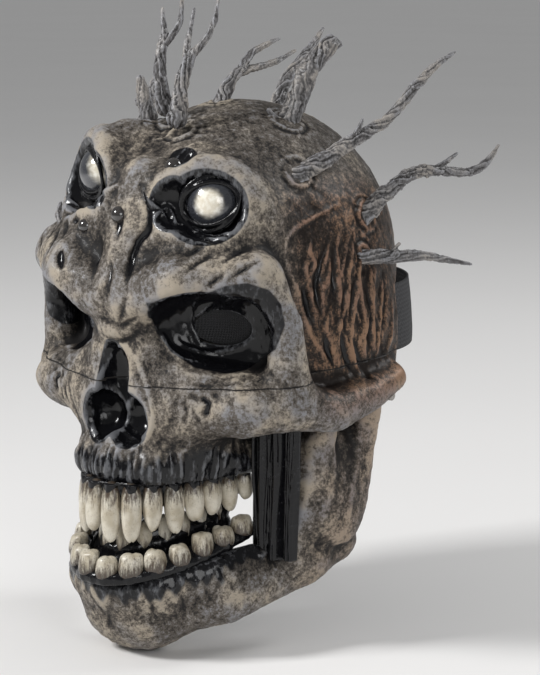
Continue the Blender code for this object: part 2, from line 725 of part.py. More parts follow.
def build_teeth(finish):
    upper = largest_body(cut(denture(UPPER, UPPER_TRIANGLES), slab(GUM_Z - FIT, 0)))
    piece("upper_denture", upper, finish)
    under_seat = below([(y, jaw_seat((0, y)) + FIT) for y in (-FAR, FAR)], FAR)
    for name, row, triangles in (("outer_lower_denture", LOWER_OUTER, OUTER_TRIANGLES),
                                 ("inner_lower_denture", LOWER_INNER, INNER_ROW_TRIANGLES)):
        teeth = largest_body(cut(denture(row, triangles), under_seat))
        piece(name, teeth, finish, pivot=JAW_PIVOT)


def build_eyes(glass, bead_gloss, mesh_black):
    for side, word in ((1, "left"), (-1, "right")):
        centre = Vector((side * EYE_X, EYE_Y, EYE_Z + (EYE_LIFT if side < 0 else 0.0)))
        inward = Vector((-side * 0.45, 0.89, 0)).normalized()
        dome = flat_cut(upper_eye_ball(side), centre + inward * EYE_RADIUS * 0.4, inward)
        piece("upper_eye_" + word, dome, glass)
        piece("vision_screen_" + word, sight_disc(side, SCREEN_THICK), mesh_black)
    for name, place in BEADS.items():
        piece(name, bead(place), bead_gloss)


def build_hinge_pins(finish):
    for side, word in ((1, "left"), (-1, "right")):
        head = rod((side * (PIN_INNER_X - PIN_HEAD_THICK), HINGE_Y, HINGE_Z),
                   (side * PIN_INNER_X, HINGE_Y, HINGE_Z), PIN_HEAD_RADIUS)
        shank = rod((side * (PIN_INNER_X - 1), HINGE_Y, HINGE_Z),
                    (side * PIN_OUTER_X, HINGE_Y, HINGE_Z), PIN_RADIUS)
        piece("jaw_pin_" + word, boolean(head, shank, "UNION"), finish)


def build_branches(finish, skin):
    for name, runs in BRANCHES.items():
        piece(name, branch_mesh(runs, skin, BRANCH_TRIANGLES + FORK_TRIANGLES * len(runs)), finish)


def band(extra=0.0):
    """Elastic glued inside both rear edges and going round the back of the head."""
    heights = np.linspace(-BAND_WIDTH / 2 - extra, BAND_WIDTH / 2 + extra, 5) + BAND_Z
    start_y = BAND_START_Y - extra
    end_y = BAND_START_Y + BAND_GLUED
    rows = []
    for z in heights:
        half = [wall_x(y, z, -SKIN) - BAND_THICK / 2 for y in (BAND_START_Y, end_y)]
        side = [Vector((half[0], start_y, z)), Vector((half[1], end_y, z))]
        free = [Vector((half[1] * math.cos(t), end_y + (BAND_BACK_Y - end_y) * math.sin(t), z))
                for t in np.linspace(0, math.pi, 25)[1:-1]]
        other = [Vector((-point.x, point.y, z)) for point in reversed(side)]
        rows.append(side + free + other)
    return sheet(rows, BAND_THICK + 2 * extra)


def build_pads(finish, inside):
    crown = flat_cut(inside, (0, 0, CROWN_Z - SKIN - PAD_THICK), (0, 0, -1))
    crown.transform(Matrix.Translation((0, 0, -FIT)))
    piece("crown_pad", crown, finish)
    block = prism([(-150, BROW_PAD_LOW), (BROW_PAD_Y, BROW_PAD_LOW), (BROW_PAD_Y, BROW_PAD_HIGH),
                   (-150, BROW_PAD_HIGH)], -BROW_PAD_HALF_WIDTH, BROW_PAD_HALF_WIDTH)
    brow = largest_body(boolean(inside, block, "INTERSECT"))
    brow.transform(Matrix.Translation((0, FIT, 0)))
    piece("brow_pad", brow, finish)


def build_webs(finish, skin, jaw_skin):
    """Pleated black latex that closes the gap between each cheek and the jaw."""
    raised = jaw_skin.copy()
    raised.transform(Matrix.Translation((0, 0, 2 * FIT)))
    for side, word in ((1, "left"), (-1, "right")):
        columns = []
        for share in np.linspace(0, 1, 11):
            x = WEB_INNER_X + (WEB_OUTER_X - WEB_INNER_X) * share
            y = WEB_Y + WEB_PLEAT * math.sin(share * math.pi * 5) + 4 * share
            columns.append([Vector((side * x, y, z)) for z in np.linspace(WEB_TOP, WEB_LOW, 4)])
        web = largest_body(cut(sheet(columns, WEB_THICK), skin, raised))
        web.transform(Matrix.Translation((0, 0, -FIT)))
        piece("cheek_web_" + word, web, finish)


def main():
    bone = material("bone_latex", (0.30, 0.27, 0.24), 0.6)
    gloss = material("black_latex", (0.015, 0.015, 0.017), 0.2)
    tooth_paint = material("tooth_paint", (0.62, 0.57, 0.47), 0.3)
    eye_resin = material("eye_resin", (0.45, 0.43, 0.40), 0.15)
    bark = material("branch_latex", (0.16, 0.16, 0.17), 0.5)
    elastic = material("black_elastic", (0.03, 0.03, 0.03), 0.8)
    foam = material("grey_foam", (0.12, 0.12, 0.12), 0.95)
    steel = material("pin_steel", (0.5, 0.5, 0.5), 0.35, 1.0)
    skin = sculpted(SKULL, SKULL_CUTS, SKULL_TRIANGLES)
    inside = sculpted(SKULL, SKULL_CUTS, INNER_TRIANGLES, grow=-SKIN, sizes=(4.0, 3.0))
    build_skull(bone, skin, inside)
    jaw_skin = jaw_form()
    build_jaw(bone, jaw_skin)
    build_teeth(tooth_paint)
    build_eyes(eye_resin, gloss, gloss)
    build_hinge_pins(steel)
    build_branches(bark, skin)
    piece("back_strap", band(), elastic)
    build_pads(foam, inside)
    build_webs(gloss, skin, jaw_skin)


for old in list(bpy.data.objects):
    bpy.data.objects.remove(old)
PARTS = bpy.data.collections.new("latex_halloween_mask")
bpy.context.scene.collection.children.link(PARTS)
main()
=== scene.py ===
# %% [markdown]
# # A latex halloween mask, piece by piece
# The mask is a horned demon skull, cast in latex and worn over the whole face. It has
# four eyes: two glossy ones high on the forehead and two deep sockets that the wearer
# looks through. The upper jaw is a casting glued under the skull's, and the lower jaw is
# a third one that swings on pins below the ears. Branch horns are pushed into holes in
# the skull, and an elastic band closes the back.
#
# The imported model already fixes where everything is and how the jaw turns. This script
# gives each piece its skin: sculpted folds, paint, gloss and grain.

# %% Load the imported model
import math

import bmesh
import bpy
import numpy as np
from mathutils import Euler, Matrix, Vector


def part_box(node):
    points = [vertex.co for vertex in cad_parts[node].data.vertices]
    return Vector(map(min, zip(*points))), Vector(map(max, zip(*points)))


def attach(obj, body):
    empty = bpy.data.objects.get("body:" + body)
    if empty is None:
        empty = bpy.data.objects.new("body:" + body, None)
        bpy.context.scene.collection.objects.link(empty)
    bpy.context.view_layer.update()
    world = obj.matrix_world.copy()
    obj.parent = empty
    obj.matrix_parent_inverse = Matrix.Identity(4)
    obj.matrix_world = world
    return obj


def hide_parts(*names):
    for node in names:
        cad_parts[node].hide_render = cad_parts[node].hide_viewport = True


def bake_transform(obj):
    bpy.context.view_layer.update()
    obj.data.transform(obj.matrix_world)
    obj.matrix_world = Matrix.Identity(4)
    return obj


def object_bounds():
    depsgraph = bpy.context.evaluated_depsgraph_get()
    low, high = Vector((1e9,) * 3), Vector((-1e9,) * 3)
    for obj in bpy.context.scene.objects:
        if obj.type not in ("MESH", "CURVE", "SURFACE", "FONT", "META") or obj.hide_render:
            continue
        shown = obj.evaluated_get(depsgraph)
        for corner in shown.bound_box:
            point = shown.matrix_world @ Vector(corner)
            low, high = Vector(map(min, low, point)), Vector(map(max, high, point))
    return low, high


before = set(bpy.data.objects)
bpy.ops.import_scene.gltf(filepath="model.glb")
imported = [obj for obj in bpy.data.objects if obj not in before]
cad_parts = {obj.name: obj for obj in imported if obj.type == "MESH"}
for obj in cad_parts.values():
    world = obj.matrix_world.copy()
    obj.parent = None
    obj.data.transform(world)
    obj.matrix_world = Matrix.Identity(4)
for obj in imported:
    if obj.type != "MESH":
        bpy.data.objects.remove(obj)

MM = 0.001
cad_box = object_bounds()
print("packed model, mm:", [[round(v / MM) for v in corner] for corner in cad_box])

# %% [markdown]
# ## The camera
# The photograph looks at the mask from the wearer's left front, a little above eye
# level, through a long lens. A camera is easiest to place by the angle it looks from
# and its distance to a target; the lens then follows from the size of the picture.

# %% The camera
PHOTO_WIDTH = 540
PHOTO_HEIGHT = 675
VIEW_TURN = math.radians(40)
VIEW_RISE = math.radians(10)
VIEW_DISTANCE = 1400.0      # mm
VIEW_TARGET = np.array([0.0, 28.0, 0.0])
MM_PER_PIXEL = 0.6          # at the target
PIXELS_PER_SLOPE = VIEW_DISTANCE / MM_PER_PIXEL
SENSOR = 24.0
FAR_CLIP = 20               # m

toward_camera = np.array([math.sin(VIEW_TURN) * math.cos(VIEW_RISE),
                          -math.cos(VIEW_TURN) * math.cos(VIEW_RISE), math.sin(VIEW_RISE)])
picture_right = np.array([math.cos(VIEW_TURN), math.sin(VIEW_TURN), 0.0])
picture_up = np.cross(toward_camera, picture_right)
camera_spot = VIEW_TARGET + VIEW_DISTANCE * toward_camera

lens = bpy.data.cameras.new("photo_camera")
lens.sensor_fit = "VERTICAL"
lens.sensor_height = SENSOR
lens.lens = SENSOR * PIXELS_PER_SLOPE / PHOTO_HEIGHT
lens.clip_end = FAR_CLIP
camera = bpy.data.objects.new("photo_camera", lens)
camera.location = Vector(camera_spot) * MM
camera.rotation_euler = Vector(-toward_camera).to_track_quat("-Z", "Y").to_euler()
bpy.context.scene.collection.objects.link(camera)
bpy.context.scene.camera = camera
print("lens, mm:", round(lens.lens, 1))

# %% [markdown]
# ## Shader arithmetic
# Paint on a mask is layers: a dark base, a sponged middle tone, a dry brush over the
# high spots, gloss in the hollows. Each layer is a mask made by arithmetic on noise and
# on what the mesh knows about itself. A small class lets that be written as Python
# expressions, which reads better than a page of links.

# %% A socket that can be added, multiplied and mixed
class Paint:
    """One output socket; arithmetic on it adds Math nodes."""

    def __init__(self, tree, socket=None):
        self.tree = tree
        self.socket = socket

    def node(self, kind, settings=None, sockets=None, output=0):
        made = self.tree.nodes.new("ShaderNode" + kind)
        for name, value in (settings or {}).items():
            if name == "stops":
                self.set_stops(made.color_ramp, value)
            else:
                setattr(made, name, value)
        for name, value in (sockets or {}).items():
            if isinstance(value, Paint):
                self.tree.links.new(value.socket, made.inputs[name])
            else:
                made.inputs[name].default_value = value
        return Paint(self.tree, made.outputs[output])

    @staticmethod
    def set_stops(ramp, stops):
        for spare in ramp.elements[1:]:
            ramp.elements.remove(spare)
        ramp.elements[0].position, ramp.elements[0].color = stops[0]
        for place, colour in stops[1:]:
            ramp.elements.new(place).color = colour

    def math(self, operation, *values):
        return self.node("Math", {"operation": operation}, dict(enumerate(values)))

    def __add__(self, other):
        return self.math("ADD", self, other)

    __radd__ = __add__

    def __sub__(self, other):
        return self.math("SUBTRACT", self, other)

    def __rsub__(self, other):
        return self.math("SUBTRACT", other, self)

    def __mul__(self, other):
        return self.math("MULTIPLY", self, other)

    __rmul__ = __mul__

    def between(self, low, high):
        """0 below low, 1 above high, eased between."""
        return self.node("MapRange", {"interpolation_type": "SMOOTHSTEP"},
                         {"Value": self, "From Min": low, "From Max": high})

    def mix(self, first, second):
        """From the first colour, where this value is 0, to the second, where it is 1."""
        return self.node("Mix", {"data_type": "RGBA"}, {0: self, 6: first, 7: second}, output=2)


# %% Colours, noise and bumps
def rgb(red, green, blue):
    return (red, green, blue, 1.0)


def attribute(start, name):
    return start.node("Attribute", {"attribute_name": name}, output=2)


def noise(start, place, size, detail=2.0, roughness=0.5, stretch=None):
    """Cloudy noise whose blobs are about the given size in millimetres."""
    if stretch:
        place = start.node("Mapping", {}, {"Vector": place, "Scale": stretch})
    return start.node("TexNoise", {}, {"Vector": place, "Scale": 1 / (size * MM),
                                       "Detail": detail, "Roughness": roughness})


def finish(name, make, **constants):
    """A material: make() returns what feeds the sockets that vary."""
    material = bpy.data.materials.new(name)
    material.use_nodes = True
    tree = material.node_tree
    shader = tree.nodes["Principled BSDF"]
    for socket, value in constants.items():
        shader.inputs[socket.replace("_", " ")].default_value = value
    start = Paint(tree)
    place = start.node("TexCoord", output=3)
    for socket, value in make(start, place).items():
        tree.links.new(value.socket, shader.inputs[socket])
    return material


def bumped(start, height, depth, strength=1.0):
    return start.node("Bump", {}, {"Height": height, "Distance": depth * MM,
                                   "Strength": strength})

# %% [markdown]
# ## Clay that blends
# A mask is sculpted in clay before it is cast. Clay can be copied with simple solids
# that melt into each other: every solid knows its signed distance to a point, and a
# soft minimum of those distances gives one smooth skin. A voxel remesh of the solids
# makes a mesh near that skin, and each vertex then slides along the slope onto it.
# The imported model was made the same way, with fewer faces, so the two agree.

# %% Solids with a distance
def along_span(points, start, end):
    """Each point's nearest place on a straight span, 0 to 1, and its distance from there."""
    run = end - start
    t = np.clip((points - start) @ run / max(run @ run, 1e-9), 0, 1)
    return t, np.linalg.norm(points - start - t[:, None] * run, axis=1)


class Ball:
    """An ellipsoid; pair=True stands for one on each side of the face."""

    def __init__(self, centre, radii, turn=(0, 0, 0), blend=8, pair=False):
        self.centre = np.array(centre, float)
        self.radii = np.array(radii, float)
        self.turn = np.array(Euler([math.radians(a) for a in turn]).to_matrix())
        self.blend = blend
        self.pair = pair

    def distance(self, points, grow):
        local = (points - self.centre) @ self.turn
        radii = self.radii + grow
        near = np.linalg.norm(local / radii, axis=1) + 1e-9
        return near * (near - 1) / (np.linalg.norm(local / radii ** 2, axis=1) + 1e-9)

    def add_to(self, mesh, side, grow):
        verts = bmesh.ops.create_icosphere(mesh, subdivisions=4, radius=1)["verts"]
        size = Matrix.Diagonal((*(self.radii + grow), 1))
        place = Matrix.Translation(self.centre) @ Matrix(self.turn.tolist()).to_4x4() @ size
        bmesh.ops.transform(mesh, matrix=Matrix.Diagonal((side, 1, 1, 1)) @ place, verts=verts)


class Bar:
    """A rounded, tapering rod through a few points."""

    def __init__(self, points, radii, blend=8, pair=False):
        self.points = [np.array(point, float) for point in points]
        self.radii = radii
        self.blend = blend
        self.pair = pair

    def spans(self):
        return zip(self.points, self.points[1:], self.radii, self.radii[1:])

    def distance(self, points, grow):
        best = np.full(len(points), 1e9)
        for start, end, first, last in self.spans():
            t, away = along_span(points, start, end)
            best = np.minimum(best, away - first - (last - first) * t)
        return best - grow

    def add_to(self, mesh, side, grow):
        for start, end, first, last in self.spans():
            steps = max(2, int(np.linalg.norm(end - start) / (0.4 * min(first, last))))
            for i in range(steps + 1):
                spot = start + (end - start) * i / steps
                spot[0] *= side
                radius = first + (last - first) * i / steps + grow
                bmesh.ops.create_icosphere(mesh, subdivisions=2, radius=radius,
                                           matrix=Matrix.Translation(spot))


# %% Solids that melt together
def blend_union(a, b, width):
    mix = np.clip(0.5 + 0.5 * (b - a) / width, 0, 1)
    return b + (a - b) * mix - width * mix * (1 - mix)


def smooth_step(value, low, high):
    t = np.clip((value - low) / (high - low), 0, 1)
    return t * t * (3 - 2 * t)


def form_distance(adds, cuts, points, grow=0.0):
    """Signed distance to the blended form, positive outside."""
    one_side = np.c_[np.sqrt(points[:, 0] ** 2 + 4.0), points[:, 1:]]
    total = None
    for shape in adds:
        near = shape.distance(one_side if shape.pair else points, grow)
        total = near if total is None else blend_union(total, near, shape.blend)
    for shape in cuts:
        near = shape.distance(one_side if shape.pair else points, -grow)
        total = -blend_union(-total, near, shape.blend)
    return total


def slope_at(adds, cuts, points, grow, here, reach=0.2):
    slope = np.empty_like(points)
    for axis in range(3):
        step = np.zeros(3)
        step[axis] = reach
        slope[:, axis] = (form_distance(adds, cuts, points + step, grow) - here) / reach
    return slope


def settle(adds, cuts, points, grow=0.0, rounds=5):
    """Slide points along the form's slope until they lie on it."""
    for _ in range(rounds):
        here = form_distance(adds, cuts, points, grow)
        slope = slope_at(adds, cuts, points, grow, here)
        move = np.clip(here / np.maximum((slope ** 2).sum(1), 0.1), -4, 4)
        points = points - move[:, None] * slope
    return points


# %% Meshes in and out of modifiers
def finished(mesh):
    data = bpy.data.meshes.new("piece")
    mesh.to_mesh(data)
    mesh.free()
    return data


def vertex_array(mesh):
    flat = np.empty(len(mesh.vertices) * 3)
    mesh.vertices.foreach_get("co", flat)
    return flat.reshape(-1, 3)


def normal_array(mesh):
    flat = np.empty(len(mesh.vertices) * 3, np.float32)
    mesh.vertex_normals.foreach_get("vector", flat)
    return flat.reshape(-1, 3).astype(float)


def set_vertices(mesh, points):
    mesh.vertices.foreach_set("co", points.ravel())
    mesh.update()


def with_modifier(mesh, kind, **settings):
    """A new mesh: the given one after one modifier."""
    holder = bpy.data.objects.new("holder", mesh)
    bpy.context.scene.collection.objects.link(holder)
    modifier = holder.modifiers.new(kind.lower(), kind)
    for name, value in settings.items():
        setattr(modifier, name, value)
    graph = bpy.context.evaluated_depsgraph_get()
    result = bpy.data.meshes.new_from_object(holder.evaluated_get(graph))
    bpy.data.objects.remove(holder)
    return result


def cut(mesh, *tools):
    """Take closed tools away from a closed mesh."""
    for tool in tools:
        other = bpy.data.objects.new("tool", tool)
        bpy.context.scene.collection.objects.link(other)
        mesh = with_modifier(mesh, "BOOLEAN", operation="DIFFERENCE", solver="MANIFOLD",
                             object=other)
        bpy.data.objects.remove(other)
    return mesh


def voxel(mesh, size):
    return with_modifier(mesh, "REMESH", mode="VOXEL", voxel_size=size)


def smoothed(mesh, rounds):
    """The mesh after each vertex has moved to its neighbours' mean a number of times."""
    set_vertices(mesh, relaxed(vertex_array(mesh), edge_array(mesh), rounds))
    return mesh


def pushed(mesh, points, lift):
    """The mesh with its vertices at the points, each raised along its normal."""
    set_vertices(mesh, points + lift[:, None] * normal_array(mesh))
    return mesh


# %% Clay into a mesh
def solid_of(shapes, grow=0.0):
    mesh = bmesh.new()
    for shape in shapes:
        shape.add_to(mesh, 1, grow)
        if shape.pair:
            shape.add_to(mesh, -1, grow)
    bmesh.ops.recalc_face_normals(mesh, faces=mesh.faces)
    return finished(mesh)


def sculpted(adds, cuts, sizes, grow=0.0):
    """One closed mesh of the blended form, remeshed finer and finer."""
    body = voxel(solid_of(adds, grow), sizes[0])
    if cuts:
        body = cut(body, voxel(solid_of(cuts, -grow), sizes[0]))
    for size in sizes:
        body = voxel(body, size)
        set_vertices(body, settle(adds, cuts, vertex_array(body), grow))
    return body


# %% Plain tools that cut a casting
def prism(outline, low, high):
    """A y-z outline stretched across x from low to high."""
    mesh = bmesh.new()
    ring = [mesh.verts.new((low, y, z)) for y, z in outline]
    face = mesh.faces.new(ring)
    grown = bmesh.ops.extrude_face_region(mesh, geom=[face])["geom"]
    bmesh.ops.translate(mesh, vec=(high - low, 0, 0),
                        verts=[v for v in grown if isinstance(v, bmesh.types.BMVert)])
    bmesh.ops.recalc_face_normals(mesh, faces=mesh.faces)
    return finished(mesh)


def rod(start, end, radius, sides=32, squash=(1, 1)):
    """A straight rod; squash makes its section an ellipse."""
    start = Vector(start)
    end = Vector(end)
    mesh = bmesh.new()
    bmesh.ops.create_cone(mesh, cap_ends=True, segments=sides, radius1=radius, radius2=radius,
                          depth=(end - start).length)
    turn = (end - start).to_track_quat("Z", "Y").to_matrix().to_4x4()
    place = Matrix.Translation((start + end) / 2) @ turn @ Matrix.Diagonal((*squash, 1, 1))
    bmesh.ops.transform(mesh, matrix=place, verts=mesh.verts)
    return finished(mesh)


def slab(low, high):
    """Everything between two heights."""
    return prism([(-FAR, low), (FAR, low), (FAR, high), (-FAR, high)], -FAR, FAR)


def below(line, half_width):
    """Everything under a y-z line."""
    return prism([(line[0][0], -FAR), *line, (line[-1][0], -FAR)], -half_width, half_width)


def beyond(axis, at, way):
    """Everything beyond a plane square to an axis."""
    mesh = bmesh.new()
    bmesh.ops.create_cube(mesh, size=2 * FAR)
    shift = [0.0, 0.0, 0.0]
    shift[axis] = at + way * FAR
    bmesh.ops.translate(mesh, vec=shift, verts=mesh.verts)
    return finished(mesh)


# %% A finished piece, and the box of a packed one
SIDES = {"left": 1, "right": -1}


def packed_box(node):
    """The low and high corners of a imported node, mm."""
    return [np.array(corner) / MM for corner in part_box(node)]


def add_piece(name, mesh, paint, body, nodes=()):
    """A finished piece: its mesh in metres, its body, its paint slot, the nodes it stands for."""
    mesh.transform(Matrix.Diagonal((MM, MM, MM, 1)))
    mesh.name = name
    mesh.materials.clear()
    mesh.materials.append(paint)
    mesh.shade_smooth()
    made = bpy.data.objects.new(name, mesh)
    bpy.context.scene.collection.objects.link(made)
    if body:
        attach(made, body)
    if nodes:
        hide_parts(*nodes)
    print(name, "-", sum(len(face.vertices) - 2 for face in mesh.polygons), "triangles")
    return made


# %% What a surface knows about itself
def edge_array(mesh):
    flat = np.empty(len(mesh.edges) * 2, np.int64)
    mesh.edges.foreach_get("vertices", flat)
    return flat.reshape(-1, 2)


def relaxed(values, edges, rounds):
    """Values after each vertex has taken its neighbours' mean a number of times."""
    count = len(values)
    ends = np.r_[edges[:, 0], edges[:, 1]]
    others = np.r_[edges[:, 1], edges[:, 0]]
    share = np.maximum(np.bincount(ends, minlength=count), 1)
    for _ in range(rounds):
        values = np.stack([np.bincount(ends, values[others, k], count) / share
                           for k in range(values.shape[1])], axis=1)
    return values


def hollowness(mesh, rounds):
    """How far each vertex lies below its surroundings, mm; ridges are negative."""
    points = vertex_array(mesh)
    return ((relaxed(points, edge_array(mesh), rounds) - points) * normal_array(mesh)).sum(1)


def store(mesh, name, values):
    layer = mesh.attributes.get(name) or mesh.attributes.new(name, "FLOAT", "POINT")
    layer.data.foreach_set("value", np.asarray(values, np.float32))


def waves(points, size, seed, count=14):
    """Smooth lumps of about the given size in mm, mostly between -1 and 1."""
    rng = np.random.default_rng(seed)
    ways = rng.normal(size=(count, 3))
    ways *= (rng.uniform(0.6, 1.6, count) * 2 * math.pi / size
             / np.linalg.norm(ways, axis=1))[:, None]
    return np.sin(points @ ways.T + rng.uniform(0, 7, count)).sum(1) / math.sqrt(2 * count)


# %% [markdown]
# ## The skull's form
# The cranium is one large ellipsoid. Temples, brow ridge, nose bridge, cheek bones and
# the tooth ridge of the upper jaw are added with soft seams, and the eye sockets, the
# nose and the hollows beside the upper jaw are cut the same way. All sizes are in mm.

# %% Driving sizes, mm
SKIN = 3.5                  # latex wall
CLAY = (4.0, 2.2)           # mesh sizes of an outer skin's first rounds
CORE = (4.0, 2.6)           # and of the skull's inside
SKIN_DETAIL = 1.25          # the finest round on the skull
JAW_DETAIL = 1.3            # and on the jaw
LEAST_WALL = 0.9
GUM_Z = -62.0               # flat underside of the upper jaw
JAW_SEAT_FRONT = -119.0     # flat top of the lower jaw, at its front
JAW_SEAT_SLOPE = 0.27
JAW_SEAT_BACK_Y = -47.0
JAW_FRONT_Y = -128.0
EYE_X = 41.0                # upper eyes
EYE_Y = -68.0
EYE_Z = 93.0
EYE_RADIUS = 16.0
EYE_LIFT = 12.0             # the wearer's right upper eye sits this much higher
SOCKET_X = 60.0             # lower sockets
SOCKET_Z = 24.0
PIN_SPOT = (14.0, -20.0)    # y and z of the jaw's pins
FAR = 250.0                 # beyond every edge of the mask
print("a sculpted skin of", SKIN, "mm, never under", LEAST_WALL)

# %% The forms that make the skull
SKULL = [
    Ball((0, 0, 52), (87, 98, 92)),
    # temples, brow bosses and the brow ridge
    Ball((50, 8, 4), (43, 68, 56), blend=20, pair=True),
    Ball((28, -58, 78), (44, 38, 42), blend=18, pair=True),
    Bar([(10, -102, 40), (40, -98, 50), (74, -76, 56)], [14, 17, 12], blend=10, pair=True),
    Bar([(0, -80, 104), (0, -100, 50)], [12, 12], blend=10),
    # bridge and sides of the nose
    Ball((13, -90, 2), (15, 17, 32), blend=10, pair=True),
    Bar([(0, -94, 42), (0, -102, 24), (0, -104, 14)], [13, 10, 6], blend=10),
    # cheek bones, their arches and the outer rims of the sockets
    Ball((58, -70, -17), (34, 24, 19), blend=14, pair=True),
    Ball((32, -84, -14), (24, 19, 24), blend=12, pair=True),
    Bar([(86, -56, -18), (94, -30, -23), (96, 0, -18), (95, 24, -12)], [13, 12, 10, 8],
        blend=10, pair=True),
    Bar([(78, -70, 54), (87, -62, 28), (86, -58, -10)], [11, 9, 13], blend=10, pair=True),
    # upper jaw and its tooth ridge
    Ball((0, -66, -30), (46, 46, 38), blend=14),
    Bar([(0, -106, -54), (22, -99, -54), (38, -74, -54), (44, -42, -54)], [12, 12, 11, 10],
        blend=10, pair=True),
    # rolled lids of the upper eyes
    Bar([(EYE_X + 23 * math.cos(a), EYE_Y - 5 + 14 * math.cos(a), EYE_Z + 21 * math.sin(a))
         for a in np.linspace(0, 2 * math.pi, 13)], [5] * 13, blend=9, pair=True),
]
LOWER_SOCKET = Ball((SOCKET_X, -98, SOCKET_Z), (34, 34, 23), turn=(0, 14, -12), blend=6, pair=True)
UPPER_SOCKET = Ball((EYE_X + 8, EYE_Y - 18, EYE_Z), (21, 21, 18), blend=5, pair=True)
CANTHUS_PIT = Ball((31, -93, 94), (12, 11, 13), blend=5, pair=True)
ALMOND_PIT = Ball((22, -80, 121), (11, 11, 6.5), turn=(0, 20, 0), blend=3)
NOSE_HOLES = [Ball((0, -110, -6), (10, 16, 22), blend=4),
              Ball((11, -108, -27), (12, 18, 14), blend=4, pair=True)]
JAW_HOLLOW = Ball((66, -92, -62), (24, 32, 20), blend=8, pair=True)
SKULL_CUTS = [LOWER_SOCKET, UPPER_SOCKET, CANTHUS_PIT, ALMOND_PIT, *NOSE_HOLES, JAW_HOLLOW]
print(len(SKULL), "forms added for the skull,", len(SKULL_CUTS), "taken away")

# %% The forms that make the jaw
JAW = [
    Ball((0, -87, -140), (30, 25, 25)),
    Bar([(12, -92, -136), (46, -67, -128), (62, -20, -116), (66, 4, -108)], [20, 18, 15, 13],
        blend=12, pair=True),
    # cheek side of the jaw, up under the arch
    Bar([(66, 4, -106), (78, 10, -66), (88, 14, -20)], [13, 10, 7], blend=8, pair=True),
    Bar([(66, -20, -112), (76, -28, -66), (85, -22, -30)], [12, 9, 6], blend=12, pair=True),
    Ball((76, -8, -66), (12, 26, 40), turn=(0, -12, 0), blend=8, pair=True),
    Bar([(67, -34, -107), (76, -34, -84)], [8.5, 6], blend=8, pair=True),
    # tooth ridge
    Bar([(0, -109, -124), (25, -100, -122), (44, -75, -114), (50, -52, -106)], [14, 14, 12, 11],
        blend=8, pair=True),
]
print(len(JAW), "forms for the jaw")


# %% A raised right eye
def lift_share(points):
    """1 where the forehead is raised in full, 0 where it isn't."""
    side = smooth_step(-points[:, 0], 5, 40)
    height = smooth_step(points[:, 2], 55, 90) * (1 - smooth_step(points[:, 2], 125, 150))
    return side * height * smooth_step(-points[:, 1], 30, 60)


def lopsided(points, way=1.0):
    """The right upper eye is raised, and the forehead there goes with it."""
    return points + np.outer(way * EYE_LIFT * lift_share(points), (0, 0, 1))


# %% [markdown]
# ## Folds, furrows and sinews
# On the clay, a wire loop draws each furrow and a thin roll of clay makes each sinew.
# Here both are strokes: a line on the skin, a height (negative for a furrow) and a
# width. A stroke is aimed the way a sculptor aims from a photograph, by the place where
# it is seen, and a ray from the camera finds that place on the form.

# %% Where a place in the picture lies on the form
NEAREST = 1180              # mm from the camera, nearer than the form
FARTHEST = 1480


def rays_to(pixels):
    """Rays from the camera to places of the picture."""
    slopes = (np.array(pixels, float) - (PHOTO_WIDTH / 2, PHOTO_HEIGHT / 2)) / PIXELS_PER_SLOPE
    return -toward_camera + slopes[:, :1] * picture_right - slopes[:, 1:] * picture_up


def seen(pixels, adds, cuts, lifted=True):
    """Spots on the form, mm, under places of the picture."""
    rays = rays_to(pixels)
    depths = np.arange(NEAREST, FARTHEST, 1.0)
    points = camera_spot + rays[:, None, :] * depths[None, :, None]
    flat = points.reshape(-1, 3)
    inside = form_distance(adds, cuts, lopsided(flat, -1.0) if lifted else flat) < 0
    first = np.argmax(inside.reshape(len(pixels), -1), axis=1)
    spots = points[np.arange(len(pixels)), first]
    return lopsided(spots, -1.0) if lifted else spots


# %% A stroke of the wire loop
def smooth_line(points, steps=6):
    """A Catmull-Rom curve through a few points."""
    points = np.array(points, float)
    if len(points) < 3:
        share = np.linspace(0, 1, steps + 1)[:, None]
        return points[0] + (points[-1] - points[0]) * share
    ends = np.vstack([2 * points[0] - points[1], points, 2 * points[-1] - points[-2]])
    line = []
    for a, b, c, d in zip(ends, ends[1:], ends[2:], ends[3:]):
        for t in np.linspace(0, 1, steps, endpoint=False):
            line.append(0.5 * (2 * b + (c - a) * t + (2 * a - 5 * b + 4 * c - d) * t * t
                               + (3 * b - a - 3 * c + d) * t ** 3))
    return np.array([*line, points[-1]])


class Stroke:
    """A furrow or a roll along a line on the skin."""

    def __init__(self, line, height, width, pair=True, blunt=False):
        self.line = smooth_line(line)
        self.height = height
        self.width = width
        self.pair = pair
        self.blunt = blunt

    def lift(self, points):
        """How far each point is raised, mm."""
        reach = 3 * self.width
        raised = np.zeros(len(points))
        near = np.all((points > self.line.min(0) - reach)
                      & (points < self.line.max(0) + reach), axis=1)
        if not near.any():
            return raised
        local = points[near]
        best = np.full(len(local), 1e9)
        along = np.zeros(len(local))
        count = len(self.line) - 1
        for number, (start, end) in enumerate(zip(self.line, self.line[1:])):
            t, away = along_span(local, start, end)
            closer = away < best
            best = np.where(closer, away, best)
            along = np.where(closer, (number + t) / count, along)
        fade = 1.0 if self.blunt else 0.25 + 0.75 * np.sin(math.pi * np.clip(along, 0, 1)) ** 0.6
        raised[near] = self.height * fade * np.exp(-(best / (self.width * (0.5 + 0.5 * fade))) ** 2)
        return raised


def carved(points, strokes):
    """Heights of all the strokes together, furrows and rolls apart."""
    rolls = np.zeros(len(points))
    furrows = np.zeros(len(points))
    flipped = points * (-1, 1, 1)
    for stroke in strokes:
        for side in ((points, flipped) if stroke.pair else (points,)):
            lift = stroke.lift(side)
            rolls = np.maximum(rolls, lift)
            furrows = np.minimum(furrows, lift)
    return rolls, furrows


def drawn(pixels, height, width, pair=True, blunt=False):
    return Stroke(seen(pixels, SKULL, SKULL_CUTS), height, width, pair, blunt)


